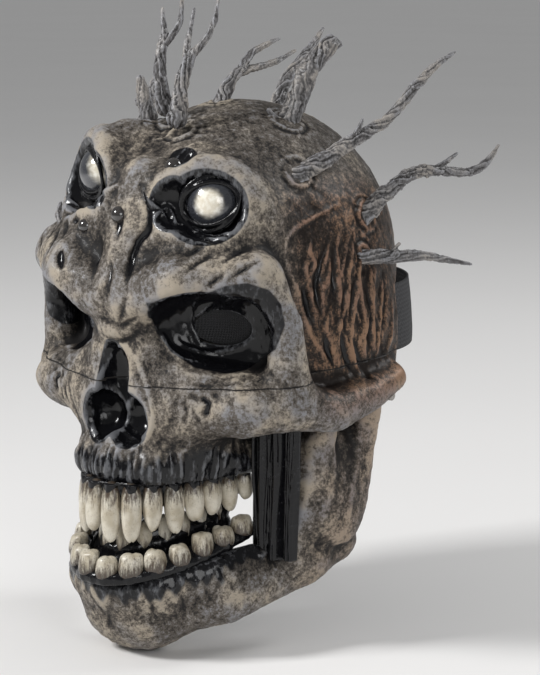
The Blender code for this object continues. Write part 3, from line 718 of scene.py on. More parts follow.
# %% Lines of the forehead and the nose, by their place in the picture
LEFT_CANTHUS = [(141, 186), (147, 202), (150, 216), (148, 230), (138, 243), (131, 264), (127, 292)]
NOSE_SIDE = [(127, 292), (122, 312), (118, 332)]
CANTHUS_FOLDS = [[(141, 187), (149, 202), (160, 211), (170, 224)],
                 [(152, 224), (157, 214), (168, 207)], [(168, 206), (173, 216), (176, 226)]]
BRIDGE_FOLDS = [[(101, 238), (97, 262), (95, 286)], [(112, 262), (109, 280), (108, 300)]]
BRIDGE_PITS = [[(61, 246), (60, 258), (62, 270)], [(83, 199), (84, 204)], [(75, 209), (75, 214)],
               [(118, 211), (119, 220), (117, 238)]]
SADDLE_FOLDS = [[(103, 318), (121, 326), (139, 317)], [(101, 333), (121, 341), (141, 331)]]
BROW_WRINKLES = [[(183, 274), (198, 263), (212, 255)], [(199, 293), (212, 283), (225, 273)],
                 [(222, 263), (238, 253), (252, 247)], [(186, 256), (196, 250), (205, 247)],
                 [(228, 280), (243, 270), (258, 262)]]
print(len(BROW_WRINKLES), "wrinkles in each brow")

# %% Lines round the sockets, the nose hole and the cheeks
UNDER_EYE = [(178, 232), (196, 239), (217, 243), (238, 240)]
SOCKET_LID = [[(176, 340), (190, 349), (205, 353), (218, 352), (240, 347), (257, 335)],
              [(161, 334), (168, 348), (181, 359), (197, 363)], [(196, 322), (203, 309), (214, 302)]]
UNDER_SOCKET = [[(170, 372), (205, 378), (246, 375), (272, 366)],
                [(168, 380), (200, 386), (236, 384)]]
NOSE_RIM = [(122, 343), (109, 358), (98, 385), (92, 412), (95, 432), (108, 438), (121, 431),
            (134, 439), (148, 434), (153, 414), (147, 386), (136, 358), (122, 343)]
CHEEK_PITS = [([(203, 399), (208, 404), (206, 413)], 2.0, 2.0), ([(192, 396), (197, 399)], 1.2, 1.6),
              ([(216, 396), (221, 401), (226, 402)], 1.0, 2.4), ([(194, 412), (199, 421)], 1.1, 1.4),
              ([(183, 403), (186, 414), (184, 422)], 0.9, 1.8), ([(231, 408), (240, 406)], 0.8, 1.6)]
CHEEK_FURROWS = [[(172, 380), (176, 396), (172, 420), (160, 444)],
                 [(222, 392), (232, 410), (236, 430)]]
ALMOND_FOLDS = [[(176, 160), (184, 152), (193, 144)], [(180, 164), (188, 157), (196, 149)]]

# %% Draw them on the form
strokes = [drawn(LEFT_CANTHUS, -2.8, 2.4, pair=False), drawn(NOSE_SIDE, -1.4, 2.0, pair=False),
           drawn(UNDER_EYE, -1.0, 1.6)]
strokes += [drawn(line, 2.2, 1.3) for line in CANTHUS_FOLDS]
strokes += [drawn(line, -1.5, 2.6, pair=False) for line in BRIDGE_FOLDS]
strokes += [drawn(line, -2.4, 3.2, pair=False) for line in BRIDGE_PITS]
strokes += [drawn(line, -1.3, 2.0, pair=False) for line in SADDLE_FOLDS]
strokes += [drawn(line, -1.5, 1.9) for line in BROW_WRINKLES]
strokes += [drawn(line, 1.5, 1.6) for line in SOCKET_LID]
strokes += [drawn(UNDER_SOCKET[0], 0.8, 2.4), drawn(UNDER_SOCKET[1], -0.7, 1.3)]
strokes += [drawn(NOSE_RIM, 1.3, 1.7, pair=False, blunt=True)]
strokes += [drawn(line, -depth, width, blunt=True) for line, depth, width in CHEEK_PITS]
strokes += [drawn(line, -1.0, 3.0) for line in CHEEK_FURROWS]
strokes += [drawn(line, 1.2, 1.2) for line in ALMOND_FOLDS]
print(len(strokes), "strokes on the face")

# %% [markdown]
# ## Temple sinews and horn collars
# Behind each brow the skin is flayed: sinews run down from the horn bases and meet
# above the cheek arch, with lens-shaped gaps between them. They follow a rule, so a
# loop lays them, each a little different. A torn edge of skin borders them in front,
# and gathered folds ring the foot of every horn.

# %% Sinews, gaps and the torn edge of the temple
TEMPLE_EDGE = [(339, 205), (312, 218), (288, 235), (284, 255), (291, 277), (300, 298), (311, 336),
               (331, 364)]
SINEWS = [[(347, 236), (340, 267), (333, 297), (329, 328), (333, 364)],
          [(354, 243), (347, 276), (341, 307), (339, 332), (346, 366)],
          [(363, 247), (358, 276), (353, 307), (351, 338), (364, 376)],
          [(374, 262), (370, 300), (366, 334), (372, 374)],
          [(385, 280), (381, 310), (379, 340), (380, 368)]]
SINEW_GAPS = [[(303, 286), (306, 305), (311, 322)], [(326, 334), (328, 350), (333, 365)],
              [(339, 330), (345, 352), (354, 374)], [(351, 336), (359, 358), (370, 378)],
              [(322, 262), (316, 284), (318, 306)]]
STRANDS = 26
SHAKE = 3                   # how far a sinew's points stray, pixels
STRAND_SHAKE = 6

chance = np.random.default_rng(7)
strokes += [drawn(TEMPLE_EDGE[:4], 1.4, 1.3), drawn(TEMPLE_EDGE[3:], 1.2, 1.7)]
strokes += [drawn(np.array(line) + chance.uniform(-SHAKE, SHAKE, (len(line), 2)),
                  chance.uniform(1.2, 2.3), chance.uniform(1.3, 2.2)) for line in SINEWS]
strokes += [drawn(line, -2.6, chance.uniform(1.8, 3.0)) for line in SINEW_GAPS]
for number in range(STRANDS):
    share = (number + chance.uniform(0, 1)) / STRANDS
    top = np.array([314 + 74 * share, 212 + 50 * share ** 2])
    foot = np.array([300 + 88 * share, 312 + 56 * min(1.5 * share, 1)])
    first, last = chance.uniform(0, 0.45), chance.uniform(0.6, 1)
    line = [top + (foot - top) * t + chance.uniform(-STRAND_SHAKE, STRAND_SHAKE, 2)
            for t in np.linspace(first, last, 4)]
    height = chance.uniform(0.8, 1.8) * (1 if number % 5 < 3 else -1.2)
    strokes.append(drawn(line, height, chance.uniform(1.0, 1.9)))
print(len(strokes), "strokes with the temple's")


# %% Gathered skin round the foot of each horn
HORN_FEET = [((-28, -47, 136), 5), ((-14, -49, 142), 5.5), ((4, -58, 137), 6), ((-6, -10, 142), 5),
             ((-14, 48, 132), 5), ((34, -3, 124), 8), ((62, -26, 104), 6.5), ((-62, -26, 104), 6.5),
             ((78, 16, 80), 6.5), ((-78, 16, 80), 6.5), ((85, 6, 59), 5), ((-64, -74, 72), 4)]


def around(spot, reaches, turns):
    """A line on the skin around a spot, at these distances and angles from it."""
    spot = settle(SKULL, SKULL_CUTS, np.array([spot], float), rounds=12)
    here = form_distance(SKULL, SKULL_CUTS, spot)
    outward = Vector(slope_at(SKULL, SKULL_CUTS, spot, 0.0, here, 0.5)[0]).normalized()
    across = outward.orthogonal().normalized()
    beside = outward.cross(across)
    line = [spot[0] + reach * (np.array(across) * math.cos(turn) + np.array(beside) * math.sin(turn))
            for reach, turn in zip(reaches, turns)]
    return settle(SKULL, SKULL_CUTS, np.array(line))


for foot, radius in HORN_FEET:
    for reach, height in ((1.2, 1.5), (2.0, 1.2), (4.2, -1.0), (6.0, 0.8)):
        first = chance.uniform(0, 6)
        turns = np.linspace(first, first + chance.uniform(2.2, 4.6), 7)
        reaches = radius + reach + chance.uniform(-0.9, 0.9, 7)
        strokes.append(Stroke(around(foot, reaches, turns), height, chance.uniform(1.1, 1.7), False))
    for turn in np.arange(7) * 0.9 + chance.uniform(-0.3, 0.3, 7):
        reaches = radius + np.array([0.5, 3.5, chance.uniform(6, 11)])
        bend = turn + np.array([0, 0.08, chance.uniform(-0.3, 0.3)])
        height = chance.choice([-0.9, 0.8])
        strokes.append(Stroke(around(foot, reaches, bend), height, chance.uniform(0.8, 1.4), False))

# %% [markdown]
# ## Roots of the teeth and the rims of the sockets
# Above each upper tooth a bony root swells through the skin, with a dark furrow between
# it and its neighbour. The roots stand along the same arch as the teeth, so they are
# laid by formula. Inside, the sockets get rings like folded lids.

# %% Tooth roots
UPPER_ARCH = dict(back_y=-40.0, half_width=43.0, depth=78.0)
UPPER_COUNT = 16
WRINKLES = 64


def arch(back_y, half_width, depth, share):
    """A spot on a dental arch; share runs from -1 (right end) to 1 (left end)."""
    turn = share * math.pi / 2
    return np.array([half_width * math.sin(turn), back_y - depth * math.cos(turn), 0.0])


def even_shares(back_y, half_width, depth, count):
    """Shares that space the teeth evenly along the arch."""
    fine = np.linspace(-1, 1, 401)
    spots = np.array([arch(back_y, half_width, depth, s) for s in fine])
    run = np.r_[0, np.cumsum(np.linalg.norm(np.diff(spots, axis=0), axis=1))]
    return np.interp((np.arange(count) + 0.5) / count * run[-1], run, fine)


def on_form(points):
    return settle(SKULL, SKULL_CUTS, np.array(points, float), rounds=10)


shares = even_shares(**UPPER_ARCH, count=UPPER_COUNT)
for number, share in enumerate(shares):
    foot = arch(**UPPER_ARCH, share=share)
    reach = 20 + 7 * math.sin(1.9 * number)
    lean = 0.12 * reach * np.sign(share)
    line = on_form([foot + (0, 0, GUM_Z - 1), foot + (lean * 0.4, 0, GUM_Z + reach * 0.45),
                    foot + (lean, 6, GUM_Z + reach)])
    strokes.append(Stroke(line, 1.0, 2.6, False, True))
for number in range(WRINKLES):
    foot = arch(**UPPER_ARCH, share=2 * (number + chance.uniform(0, 1)) / WRINKLES - 1)
    low, high = GUM_Z + chance.uniform(-1, 4), GUM_Z + chance.uniform(9, 24)
    line = on_form([foot + (chance.uniform(-1, 1), 0, z) for z in np.linspace(low, high, 4)])
    height = chance.uniform(0.5, 1.1) if number % 2 else -chance.uniform(0.8, 1.6)
    strokes.append(Stroke(line, height, chance.uniform(0.8, 1.4), False, number % 3 == 0))

# %% Lids and rims of the sockets
def socket_ring(socket, depth, wobble):
    """A ring on a socket's wall, a depth behind its middle, all in mm."""
    ring = []
    for turn in np.linspace(0, 2 * math.pi, 25):
        y = depth + 1.6 * math.sin(2 * turn + wobble) + 0.8 * math.sin(5 * turn + 2 * wobble)
        narrow = math.sqrt(max(0.0, 1 - (y / socket.radii[1]) ** 2))
        local = np.array([socket.radii[0] * narrow * math.cos(turn), y,
                          socket.radii[2] * narrow * math.sin(turn)])
        ring.append(socket.centre + socket.turn @ local)
    return np.array(ring)


for socket, depths, height, width in ((LOWER_SOCKET, (13, 24), 0.8, 1.8),
                                      (UPPER_SOCKET, (3, 7.5), 1.2, 1.2)):
    strokes += [Stroke(socket_ring(socket, depth, number), height, width, True, True)
                for number, depth in enumerate(depths)]
print(len(strokes), "strokes in all")

# %% [markdown]
# ## The skull's skin
# The clay is meshed at about a millimetre, the strokes push its vertices along their
# normals, and then the inside, the mouth, the open back and the sight holes are cut
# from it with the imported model's own sizes. Cutting last leaves the edges of the latex
# crisp. A limit on the furrows keeps the wall from being pierced.

# %% Sizes of the openings, mm
MOUTH = dict(y=-38, half_width=31, half_depth=54, roof=-36)
THROAT = [(-44, -30), (-30, -14), (60, -14)]
THROAT_HALF_WIDTH = 89
NAPE = [(34, -12), (40, 38), (66, 56), (200, 62)]
JAW_SLOT = [Ball((91.5, -4, -31), (8.5, 37, 22), pair=True)]
SIGHT_HALF_WIDTH = 16.0
SIGHT_HALF_HEIGHT = 10.0
SIGHT_REACH = 12


# %% Sculpt the skull's skin
def raised(mesh, strokes, lumps, seed):
    """Push a mesh by the strokes and a little hand-made unevenness, and keep the furrows."""
    points = vertex_array(mesh)
    rolls, furrows = carved(points, strokes)
    store(mesh, "furrow", furrows)
    lift = rolls + furrows + lumps * waves(points, 9, seed) + 0.5 * lumps * waves(points, 4, seed + 1)
    return pushed(mesh, points, np.maximum(lift, LEAST_WALL - SKIN))


skin = raised(sculpted(SKULL, SKULL_CUTS, (*CLAY, SKIN_DETAIL)), strokes, 0.22, 11)
print("skin:", len(skin.vertices), "vertices")

# %% Cut the inside and the openings
inside = sculpted(SKULL, SKULL_CUTS, CORE, grow=-SKIN)
inside = cut(inside, slab(-FAR, GUM_Z + SKIN))
mouth = rod((0, MOUTH["y"], -FAR), (0, MOUTH["y"], MOUTH["roof"]), 1, 48,
            (MOUTH["half_width"], MOUTH["half_depth"]))
slot = sculpted(JAW_SLOT, [], (3.0, 2.0))


def sight_hole(side):
    """An elliptical hole at the back of a lower socket, about its screen."""
    middle = sum(packed_box("vision_screen_" + side)) / 2
    return rod(middle - (0, SIGHT_REACH, 0), middle + (0, SIGHT_REACH, 0), 1, 40,
               (SIGHT_HALF_WIDTH, SIGHT_HALF_HEIGHT))


skull = cut(skin, slab(-FAR, GUM_Z), inside, mouth, below(THROAT, THROAT_HALF_WIDTH),
            below(NAPE, FAR), slot, *[sight_hole(word) for word in SIDES])
set_vertices(skull, lopsided(vertex_array(skull)))
print("skull:", len(skull.vertices), "vertices")

# %% [markdown]
# ## Bone paint
# The casting is black. Brown and bone paint are sponged over it, then a nearly dry
# brush of pale and cool grey catches what stands proud, and the deepest places stay
# glossy black as if wet. The same masks also paint light and shade: the colour darkens
# with hollowness and pales on ridges, as painted shade and painted highlight, and the
# black of sockets, pits and furrows is partly painted shade. So the paint needs to know
# the form: the mesh stores how hollow each spot is, how deep in a socket or furrow it
# lies, and where the bare sinews of the temple begin; their copper tint is partly a
# painted orange light. The black of the lower sockets ends at an outline drawn as the
# camera sees it, copied to the other side. The shader adds sponge and brush marks with noise.

# %% Bone latex
def bone_latex(start, place):
    hollow = attribute(start, "hollow")
    broad = attribute(start, "broad")
    wet = attribute(start, "wet")
    flayed = attribute(start, "flayed")
    outside = attribute(start, "outside")
    stipple = noise(start, place, 2.0, 4, 0.85)
    sponge = noise(start, place, 6, 3, 0.65)
    patch = noise(start, place, 30, 3, 0.55)
    brushed = noise(start, place, 2.0, 3, 0.7, stretch=(1, 1, 0.35))
    # Darker with hollowness and paler on ridges: partly sponge and dry-brush paint, partly painted
    # shade in the hollows and painted highlight on the ridges.
    high = (0.37 + hollow * -0.75 + broad * -0.1 + (stipple - 0.5) * 2.3
            + (sponge - 0.5) * 0.8 + (patch - 0.5) * 0.8)
    warm = patch.between(0.42, 0.62)
    base = high.between(0.0, 0.6).mix(rgb(0.01, 0.009, 0.009), rgb(0.1, 0.085, 0.07))
    pale = warm.mix(rgb(0.22, 0.22, 0.232), rgb(0.34, 0.295, 0.235))
    bone = high.between(0.42, 1.0).mix(base, pale)
    # The copper tint is partly dark bronze paint, partly a painted orange light.
    copper_and_orange_light_tint = (high + (brushed - 0.5) * 0.8).between(0.3, 1.05).mix(rgb(0.012, 0.007, 0.005),
                                                                 rgb(0.24, 0.115, 0.055))
    bone = (flayed * 0.75).mix(bone, copper_and_orange_light_tint)
    # Grey on the ridges of the wet black: partly silver dry brush, partly a painted highlight on the
    # wet folds.
    silver_and_highlight = (brushed * 1.6 - 0.5 - hollow * 1.1).between(0.45, 1.2)
    gloss = (silver_and_highlight * 0.5).mix(rgb(0.004, 0.004, 0.005), rgb(0.2, 0.205, 0.22))
    # The wet black is partly glossy black paint, partly painted shade in the recesses.
    wet = (wet + (sponge - 0.5) * 0.5 * wet).between(0.22, 0.72)
    painted = wet.mix(bone, gloss)
    colour = outside.mix(rgb(0.016, 0.015, 0.015), painted)
    roughness = 0.6 - wet * 0.45 - flayed * 0.2 * (1 - wet) + silver_and_highlight * wet * 0.2
    height = stipple * 0.6 + sponge * 0.5
    return {"Base Color": colour, "Roughness": roughness, "Coat Weight": wet * 0.2 + 0.03,
            "Metallic": flayed * 0.25 * (1 - wet),
            "Normal": bumped(start, height * (1 - wet * 0.75), 0.45, 0.7)}


bone = finish("bone_latex", bone_latex, Coat_Roughness=0.08, Specular_IOR_Level=0.22)


def temple_share(points):
    """1 on the temples' bare sinews, 0 elsewhere; the copper tint there is partly painted orange
    light.
    """
    x, y, z = np.abs(points[:, 0]), points[:, 1], points[:, 2]
    return (smooth_step(x, 58, 76) * smooth_step(y, -58, -34) * (1 - smooth_step(y, 60, 95))
            * smooth_step(z, -34, -6) * (1 - smooth_step(z, 88, 118)))


# %% What the paint is told
def tell_paint(mesh, wet, flayed, outside):
    """Store on a casting all that its paint reads."""
    store(mesh, "hollow", np.clip(hollowness(mesh, 8), -1.5, 1.5))
    store(mesh, "broad", np.clip(hollowness(mesh, 90), -5, 5))
    store(mesh, "wet", wet * outside)
    # The share of copper tint: partly bronze paint, partly painted orange light.
    store(mesh, "flayed", flayed)
    store(mesh, "outside", outside)


def read(mesh, name):
    """A stored value of each vertex, or 0 where there is none."""
    values = np.zeros(len(mesh.vertices), np.float32)
    layer = mesh.attributes.get(name)
    if layer:
        layer.data.foreach_get("value", values)
    return values.astype(float)


def near(form, points, low, high):
    """1 on and inside a form of the clay, 0 away from it."""
    one_side = np.c_[np.abs(points[:, 0]), points[:, 1:]] if form.pair else points
    return 1 - smooth_step(form.distance(one_side, 0.0), low, high)


# %% A place as the camera sees it
SOCKET_OUTLINE = [(146, 303), (192, 299), (226, 286), (247, 283), (269, 290), (281, 304), (285, 325),
                  (276, 349), (247, 370), (226, 374), (195, 368), (171, 352), (157, 333)]


def picture_place(points):
    """Where points are seen in the picture, in its pixels."""
    offset = points - camera_spot
    depth = -(offset @ toward_camera)
    across, up = offset @ picture_right / depth, offset @ picture_up / depth
    return np.c_[PHOTO_WIDTH / 2 + PIXELS_PER_SLOPE * across,
                 PHOTO_HEIGHT / 2 - PIXELS_PER_SLOPE * up]


def within(outline, places, soft):
    """1 inside an outline of the picture, 0 outside it, eased over some pixels."""
    corners = np.array(outline, float)
    gap = np.full(len(places), 1e9)
    odd = np.zeros(len(places), bool)
    for start, end in zip(corners, np.roll(corners, -1, axis=0)):
        gap = np.minimum(gap, along_span(places, start, end)[1])
        run = end - start
        if run[1]:
            crosses = (start[1] > places[:, 1]) != (end[1] > places[:, 1])
            odd ^= crosses & (places[:, 0] < start[0] + (places[:, 1] - start[1]) * run[0] / run[1])
    return 1 - smooth_step(np.where(odd, -gap, gap), -soft, soft)


# %% Wet black paint, painted shade and dry places of the skull
points = lopsided(vertex_array(skull), -1.0)
left_half = np.c_[np.abs(points[:, 0]), points[:, 1:]]
furrow = read(skull, "furrow")
outer = smooth_step(form_distance(SKULL, SKULL_CUTS, points), -3.2, -2.4)
streak = 4.0 * waves(points * (1, 1, 0.15), 6, 41)
# Glossy black in the sockets, pits, nose holes, the hollow under each cheek and the deep furrows:
# partly black paint, partly painted shade in these recesses. The streaks above the gums are paint.
wet = np.maximum.reduce([
    within(SOCKET_OUTLINE, picture_place(left_half), 3) * smooth_step(-points[:, 1], 45, 55),
    near(LOWER_SOCKET, points, 0.8, 3.0), near(UPPER_SOCKET, points, 2.2, 4.6),
    near(CANTHUS_PIT, points, 2.0, 4.4), near(ALMOND_PIT, points, 1.0, 2.6),
    *[near(hole, points, 1.0, 3.0) for hole in NOSE_HOLES],
    near(JAW_HOLLOW, points, 3.0, 11.0) * smooth_step(-points[:, 2], 34, 42),
    smooth_step(-furrow, 0.8, 1.8) * (1 - 0.4 * temple_share(points)),
    smooth_step(streak - points[:, 2], 36, 58) * (1 - smooth_step(points[:, 1], -60, -30))])
tell_paint(skull, wet, temple_share(points), outer)
print("wet share of the skull's skin:", round(float(wet.mean()), 2))

# %% [markdown]
# ## The seam
# Such a mask is cast in parts that come out of their moulds more easily, and a fine
# seam is left where two of them are glued. Both castings are sculpted and painted as
# one here, so folds and paint run on across the seam, and then one slanting plane
# parts them, less a hair's breadth.

# %% Part the castings along their glued seam
SEAM_FRONT_Z = -8.0
SEAM_SLOPE = 0.07
SEAM_FRONT_Y = -123.0
SEAM_GAP = 0.25


def seam_height(y):
    """The seam's height at a depth, falling towards the face."""
    return SEAM_FRONT_Z + SEAM_SLOPE * (y - SEAM_FRONT_Y)


under = [(y, seam_height(y)) for y in (-FAR, FAR)]
over = [(-FAR, seam_height(-FAR) - SEAM_GAP), (FAR, seam_height(FAR) - SEAM_GAP), (FAR, FAR),
        (-FAR, FAR)]
upper_jaw = cut(skull, prism(over, -FAR, FAR))
skull = cut(skull, below(under, FAR))
add_piece("skull_skin", skull, bone, "skull", ("skull_shell",))
add_piece("upper_jaw_skin", upper_jaw, bone, "skull", ("upper_jaw_shell",))

# %% [markdown]
# ## The jaw
# The jaw is a casting of its own, sculpted the same way: a chin, two long sides that
# climb to the pins under the cheek arch, and a flat shelf that both rows of lower teeth
# are glued to. Glossy black runs down from the gums in streaks, and pulled sinews line
# the front edge of each side.

# %% Sizes and strokes of the jaw
JAW_ROOM = [Ball((0, 0, -92), (74, 94, 62)), Ball((0, 40, -92), (90, 60, 90))]
TOOTH_SHELF = [(-250, -112), (-30, -60), (-30, 50), (-250, 50)]
TANG_Z = -34.0
PIN_RADIUS = 3.3
RAMUS_EDGE = [(301, 436), (298, 470), (291, 505), (280, 535), (262, 556)]
RAMUS_STRINGS = [[(312, 430), (310, 470), (302, 510), (290, 545)],
                 [(336, 424), (334, 462), (326, 505), (312, 545)],
                 [(362, 412), (358, 450), (350, 500), (338, 540)]]
CHIN_CREASES = [[(150, 590), (152, 606), (150, 622)], [(176, 584), (182, 600), (184, 616)],
                [(112, 594), (108, 610), (108, 628)], [(220, 570), (230, 584), (236, 596)]]


def jaw_seat(y):
    """The height at a depth of the jaw's flat top, where its teeth are glued."""
    return JAW_SEAT_FRONT + JAW_SEAT_SLOPE * (y - JAW_FRONT_Y)


def above_jaw_seat(wall=0.0):
    """Everything over the jaw's flat top, as far back as its teeth go."""
    back = JAW_SEAT_BACK_Y + wall
    return prism([(-FAR, jaw_seat(-FAR) - wall), (back, jaw_seat(back) - wall), (back, 0),
                  (-FAR, 0)], -FAR, FAR)


def drawn_on_jaw(pixels, height, width, blunt=False):
    return Stroke(seen(pixels, JAW, [], False), height, width, True, blunt)


jaw_strokes = [drawn_on_jaw(RAMUS_EDGE, 1.4, 1.8, True)]
jaw_strokes += [drawn_on_jaw(line, 0.9, 3.0) for line in RAMUS_STRINGS]
jaw_strokes += [drawn_on_jaw(line, -0.8, 1.8) for line in CHIN_CREASES]
LOWER_ARCH = dict(back_y=-47.0, half_width=48.0, depth=76.0)
LOWER_ROOTS = 18            # of which the last three at each end are hidden
lower_shares = even_shares(**LOWER_ARCH, count=LOWER_ROOTS)
for number, share in enumerate(lower_shares[3:-3]):
    foot = arch(**LOWER_ARCH, share=share)
    top = foot + (0, 0, jaw_seat(foot[1]))
    reach = 12 + 6 * math.sin(2.3 * number)
    line = settle(JAW, [], np.array([top + (0, -3, -2), top + (0, 0, -2 - reach)]), rounds=10)
    jaw_strokes.append(Stroke(line, 1.0, 2.3, False))
print(len(jaw_strokes), "strokes on the jaw")

# %% Sculpt and cut the jaw
jaw_skin = raised(sculpted(JAW, [], (*CLAY, JAW_DETAIL)), jaw_strokes, 0.25, 21)
jaw_hollow = cut(sculpted(JAW, [], (4.0, 3.0), grow=-SKIN), above_jaw_seat(SKIN),
                 slab(TANG_Z, FAR))
jaw_room = cut(sculpted(JAW_ROOM, [], (4.0, 2.5)), prism(TOOTH_SHELF, -FAR, FAR))
pin_hole = rod((-FAR, *PIN_SPOT), (FAR, *PIN_SPOT), PIN_RADIUS)
jaw = cut(jaw_skin, above_jaw_seat(), jaw_hollow, jaw_room, pin_hole)
print("jaw:", len(jaw.vertices), "vertices")

# %% Wet black paint, painted shade and painted orange light on the jaw
points = vertex_array(jaw)
below_seat = jaw_seat(points[:, 1]) - points[:, 2]
streak = 4.0 * waves(points * (1, 1, 0.12), 7, 31)
near_teeth = 1 - smooth_step(below_seat + streak, 2, 15)
near_teeth *= 1 - smooth_step(points[:, 1], -52, -40)
mouth_side = (1 - smooth_step(np.abs(points[:, 0]), 68, 76)) * smooth_step(points[:, 1], -60, -45)
mouth_side *= smooth_step(points[:, 2], -118, -104)
outer = smooth_step(form_distance(JAW, [], points), -3.2, -2.4)
# Black streaks run down from the gums as paint; the black on the inner side of each jaw side, behind
# the teeth, is partly painted shade.
wet = np.maximum(near_teeth, 0.9 * mouth_side)
# The back of each jaw side gets a share of the copper tint, which there is painted orange light on
# bone paint.
tell_paint(jaw, wet, 0.35 * smooth_step(points[:, 1], -45, -10), outer)
add_piece("jaw_skin", jaw, bone, "jaw", ("jaw_shell",))

# %% [markdown]
# ## Teeth and gums
# Each tooth is cast and painted by hand. A sphere whose profile is redrawn makes a good
# tooth: it keeps an even grid of faces, so the flutes that run down it come from moving
# vertices. The upper ones are long and taper to worn points, the outer lower ones are
# squat with ground-down tops. The gums are a dark roll that grips every neck.

# %% One tooth
def tooth(spot, outward, root, tip, width, thick, lean, point, blunt, clean, seed):
    """A tooth from root to tip, in mm; point is how narrow the tip gets."""
    mesh = bmesh.new()
    bmesh.ops.create_uvsphere(mesh, u_segments=26, v_segments=18, radius=1)
    rng = np.random.default_rng(seed)
    flutes = rng.integers(3, 6)
    turn = rng.uniform(0, 6)
    bow = rng.uniform(-0.9, 0.9)
    wear = 14 / blunt ** 1.2
    across = outward.cross(Vector((0, 0, 1))).normalized()
    layer = mesh.verts.layers.float.new("along")
    for vert in mesh.verts:
        high = max(-1.0, min(1.0, vert.co.z))
        share = (1 - high) / 2 if root > tip else (1 + high) / 2
        flat = math.hypot(vert.co.x, vert.co.y)
        angle = math.atan2(vert.co.y, vert.co.x)
        neck = 0.8 + 0.2 * math.sin(min(share / 0.45, 1) * math.pi / 2)
        taper = 1 - (1 - point) * max(0.0, (share - 0.45) / 0.55) ** 1.7
        round_off = (1 - abs(2 * share - 1) ** blunt) ** 0.5
        radius = neck * taper * round_off * (1 + 0.045 * math.cos(flutes * angle + turn))
        if flat < 1e-6:
            radius = 0
        side = math.cos(angle) * radius * width / 2 + bow * share * share
        deep = math.sin(angle) * radius * thick / 2
        vert[layer] = share * clean
        place = Vector(spot) + across * side + outward * (deep + lean * (2 * share - 1))
        worn = 0.35 * math.sin(3 * angle + turn) + wear * math.sin(2 * angle + 2 * turn) * flat
        place.z = root + (tip - root) * share + worn * share ** 3
        vert.co = place
    bmesh.ops.recalc_face_normals(mesh, faces=mesh.faces)
    return finished(mesh)


# %% The three rows of teeth, mm
GUM_DETAIL = 0.9
ROWS = {
    "upper": dict(arch=UPPER_ARCH, count=UPPER_COUNT, length=34, shorter_back=0.5, width=12.4,
                  thick=10.5, lean=1.5, up=False, point=0.62, blunt=6, clean=1.0,
                  root=lambda y: GUM_Z + 1, gum=[(-3, 3.0, 4.4), (4, 4.5, 4.0), (11, 6, 3.0)],
                  gum_root=lambda y: GUM_Z - 1, collar=4.0, body="skull", node="upper_denture"),
    "outer_lower": dict(arch=LOWER_ARCH, count=14, length=13.5, shorter_back=0.1, width=14.2,
                        thick=11, lean=-1.0, up=True, point=0.84, blunt=10, clean=0.52,
                        root=lambda y: jaw_seat(y) + 1.5, gum=[(0, 0, 4.9), (4, 3, 3.6)],
                        gum_root=lambda y: jaw_seat(y) + 1.5, collar=5.6, body="jaw",
                        node="outer_lower_denture"),
    "inner_lower": dict(arch=dict(back_y=-50.0, half_width=29.5, depth=57.0), count=12, length=22,
                        shorter_back=0.45, width=9.6, thick=8, lean=-1.0, up=True, point=0.6,
                        blunt=6, clean=0.8, root=lambda y: jaw_seat(y) + 7,
                        gum=[(-4, 0, 5.8), (3, 0, 4.8), (8, 2, 3.6)],
                        gum_root=lambda y: jaw_seat(y) + 8, collar=4.4, body="jaw",
                        node="inner_lower_denture"),
}


# %% A row of teeth
def arch_outward(row, share):
    turn = share * math.pi / 2
    return Vector((math.sin(turn) / row["arch"]["half_width"],
                   -math.cos(turn) / row["arch"]["depth"], 0)).normalized()


def joined(meshes):
    mesh = bmesh.new()
    for data in meshes:
        mesh.from_mesh(data)
    return finished(mesh)


def tooth_row(row, seed):
    """All the teeth of a row, shorter towards its ends."""
    rng = np.random.default_rng(seed)
    teeth = []
    for number, share in enumerate(even_shares(**row["arch"], count=row["count"])):
        spot = Vector(arch(**row["arch"], share=share))
        length = row["length"] * (1 - row["shorter_back"] * abs(share) ** 1.5)
        length *= 1 + 0.08 * math.sin(2.4 * number) + rng.uniform(-0.05, 0.03)
        root = row["root"](spot.y)
        tip = root + (length if row["up"] else -length)
        width = row["width"] * rng.uniform(0.88, 1.02)
        point = row["point"] * rng.uniform(0.85, 1.1)
        teeth.append(tooth(spot, arch_outward(row, share), root, tip, width, row["thick"],
                           row["lean"], point, row["blunt"], row["clean"], seed + number))
    return joined(teeth)


# %% The gum of a row
def gum_row(row, seed):
    """Rolls of gum along the arch, with a collar round each tooth's neck."""
    rise = 1 if row["up"] else -1
    bars = []
    for height, inset, radius in row["gum"]:
        line = []
        for share in np.linspace(-1, 1, 33):
            spot = arch(**row["arch"], share=share) - np.array(arch_outward(row, share)) * inset
            line.append((spot[0], spot[1], row["gum_root"](spot[1]) + rise * height))
        bars.append(Bar(line, [radius] * len(line)))
    for share in even_shares(**row["arch"], count=row["count"]):
        outward = np.array(arch_outward(row, share))
        spot = arch(**row["arch"], share=share)
        foot = np.array([*spot[:2], row["gum_root"](spot[1])])
        bars.append(Bar([foot, foot + outward * 0.5 + (0, 0, rise * 2.5)],
                        [row["collar"], row["collar"] * 0.9]))
    gum = smoothed(voxel(solid_of(bars), GUM_DETAIL), 2)
    points = vertex_array(gum)
    return pushed(gum, points, 0.35 * waves(points * (1, 1, 0.4), 5, seed))


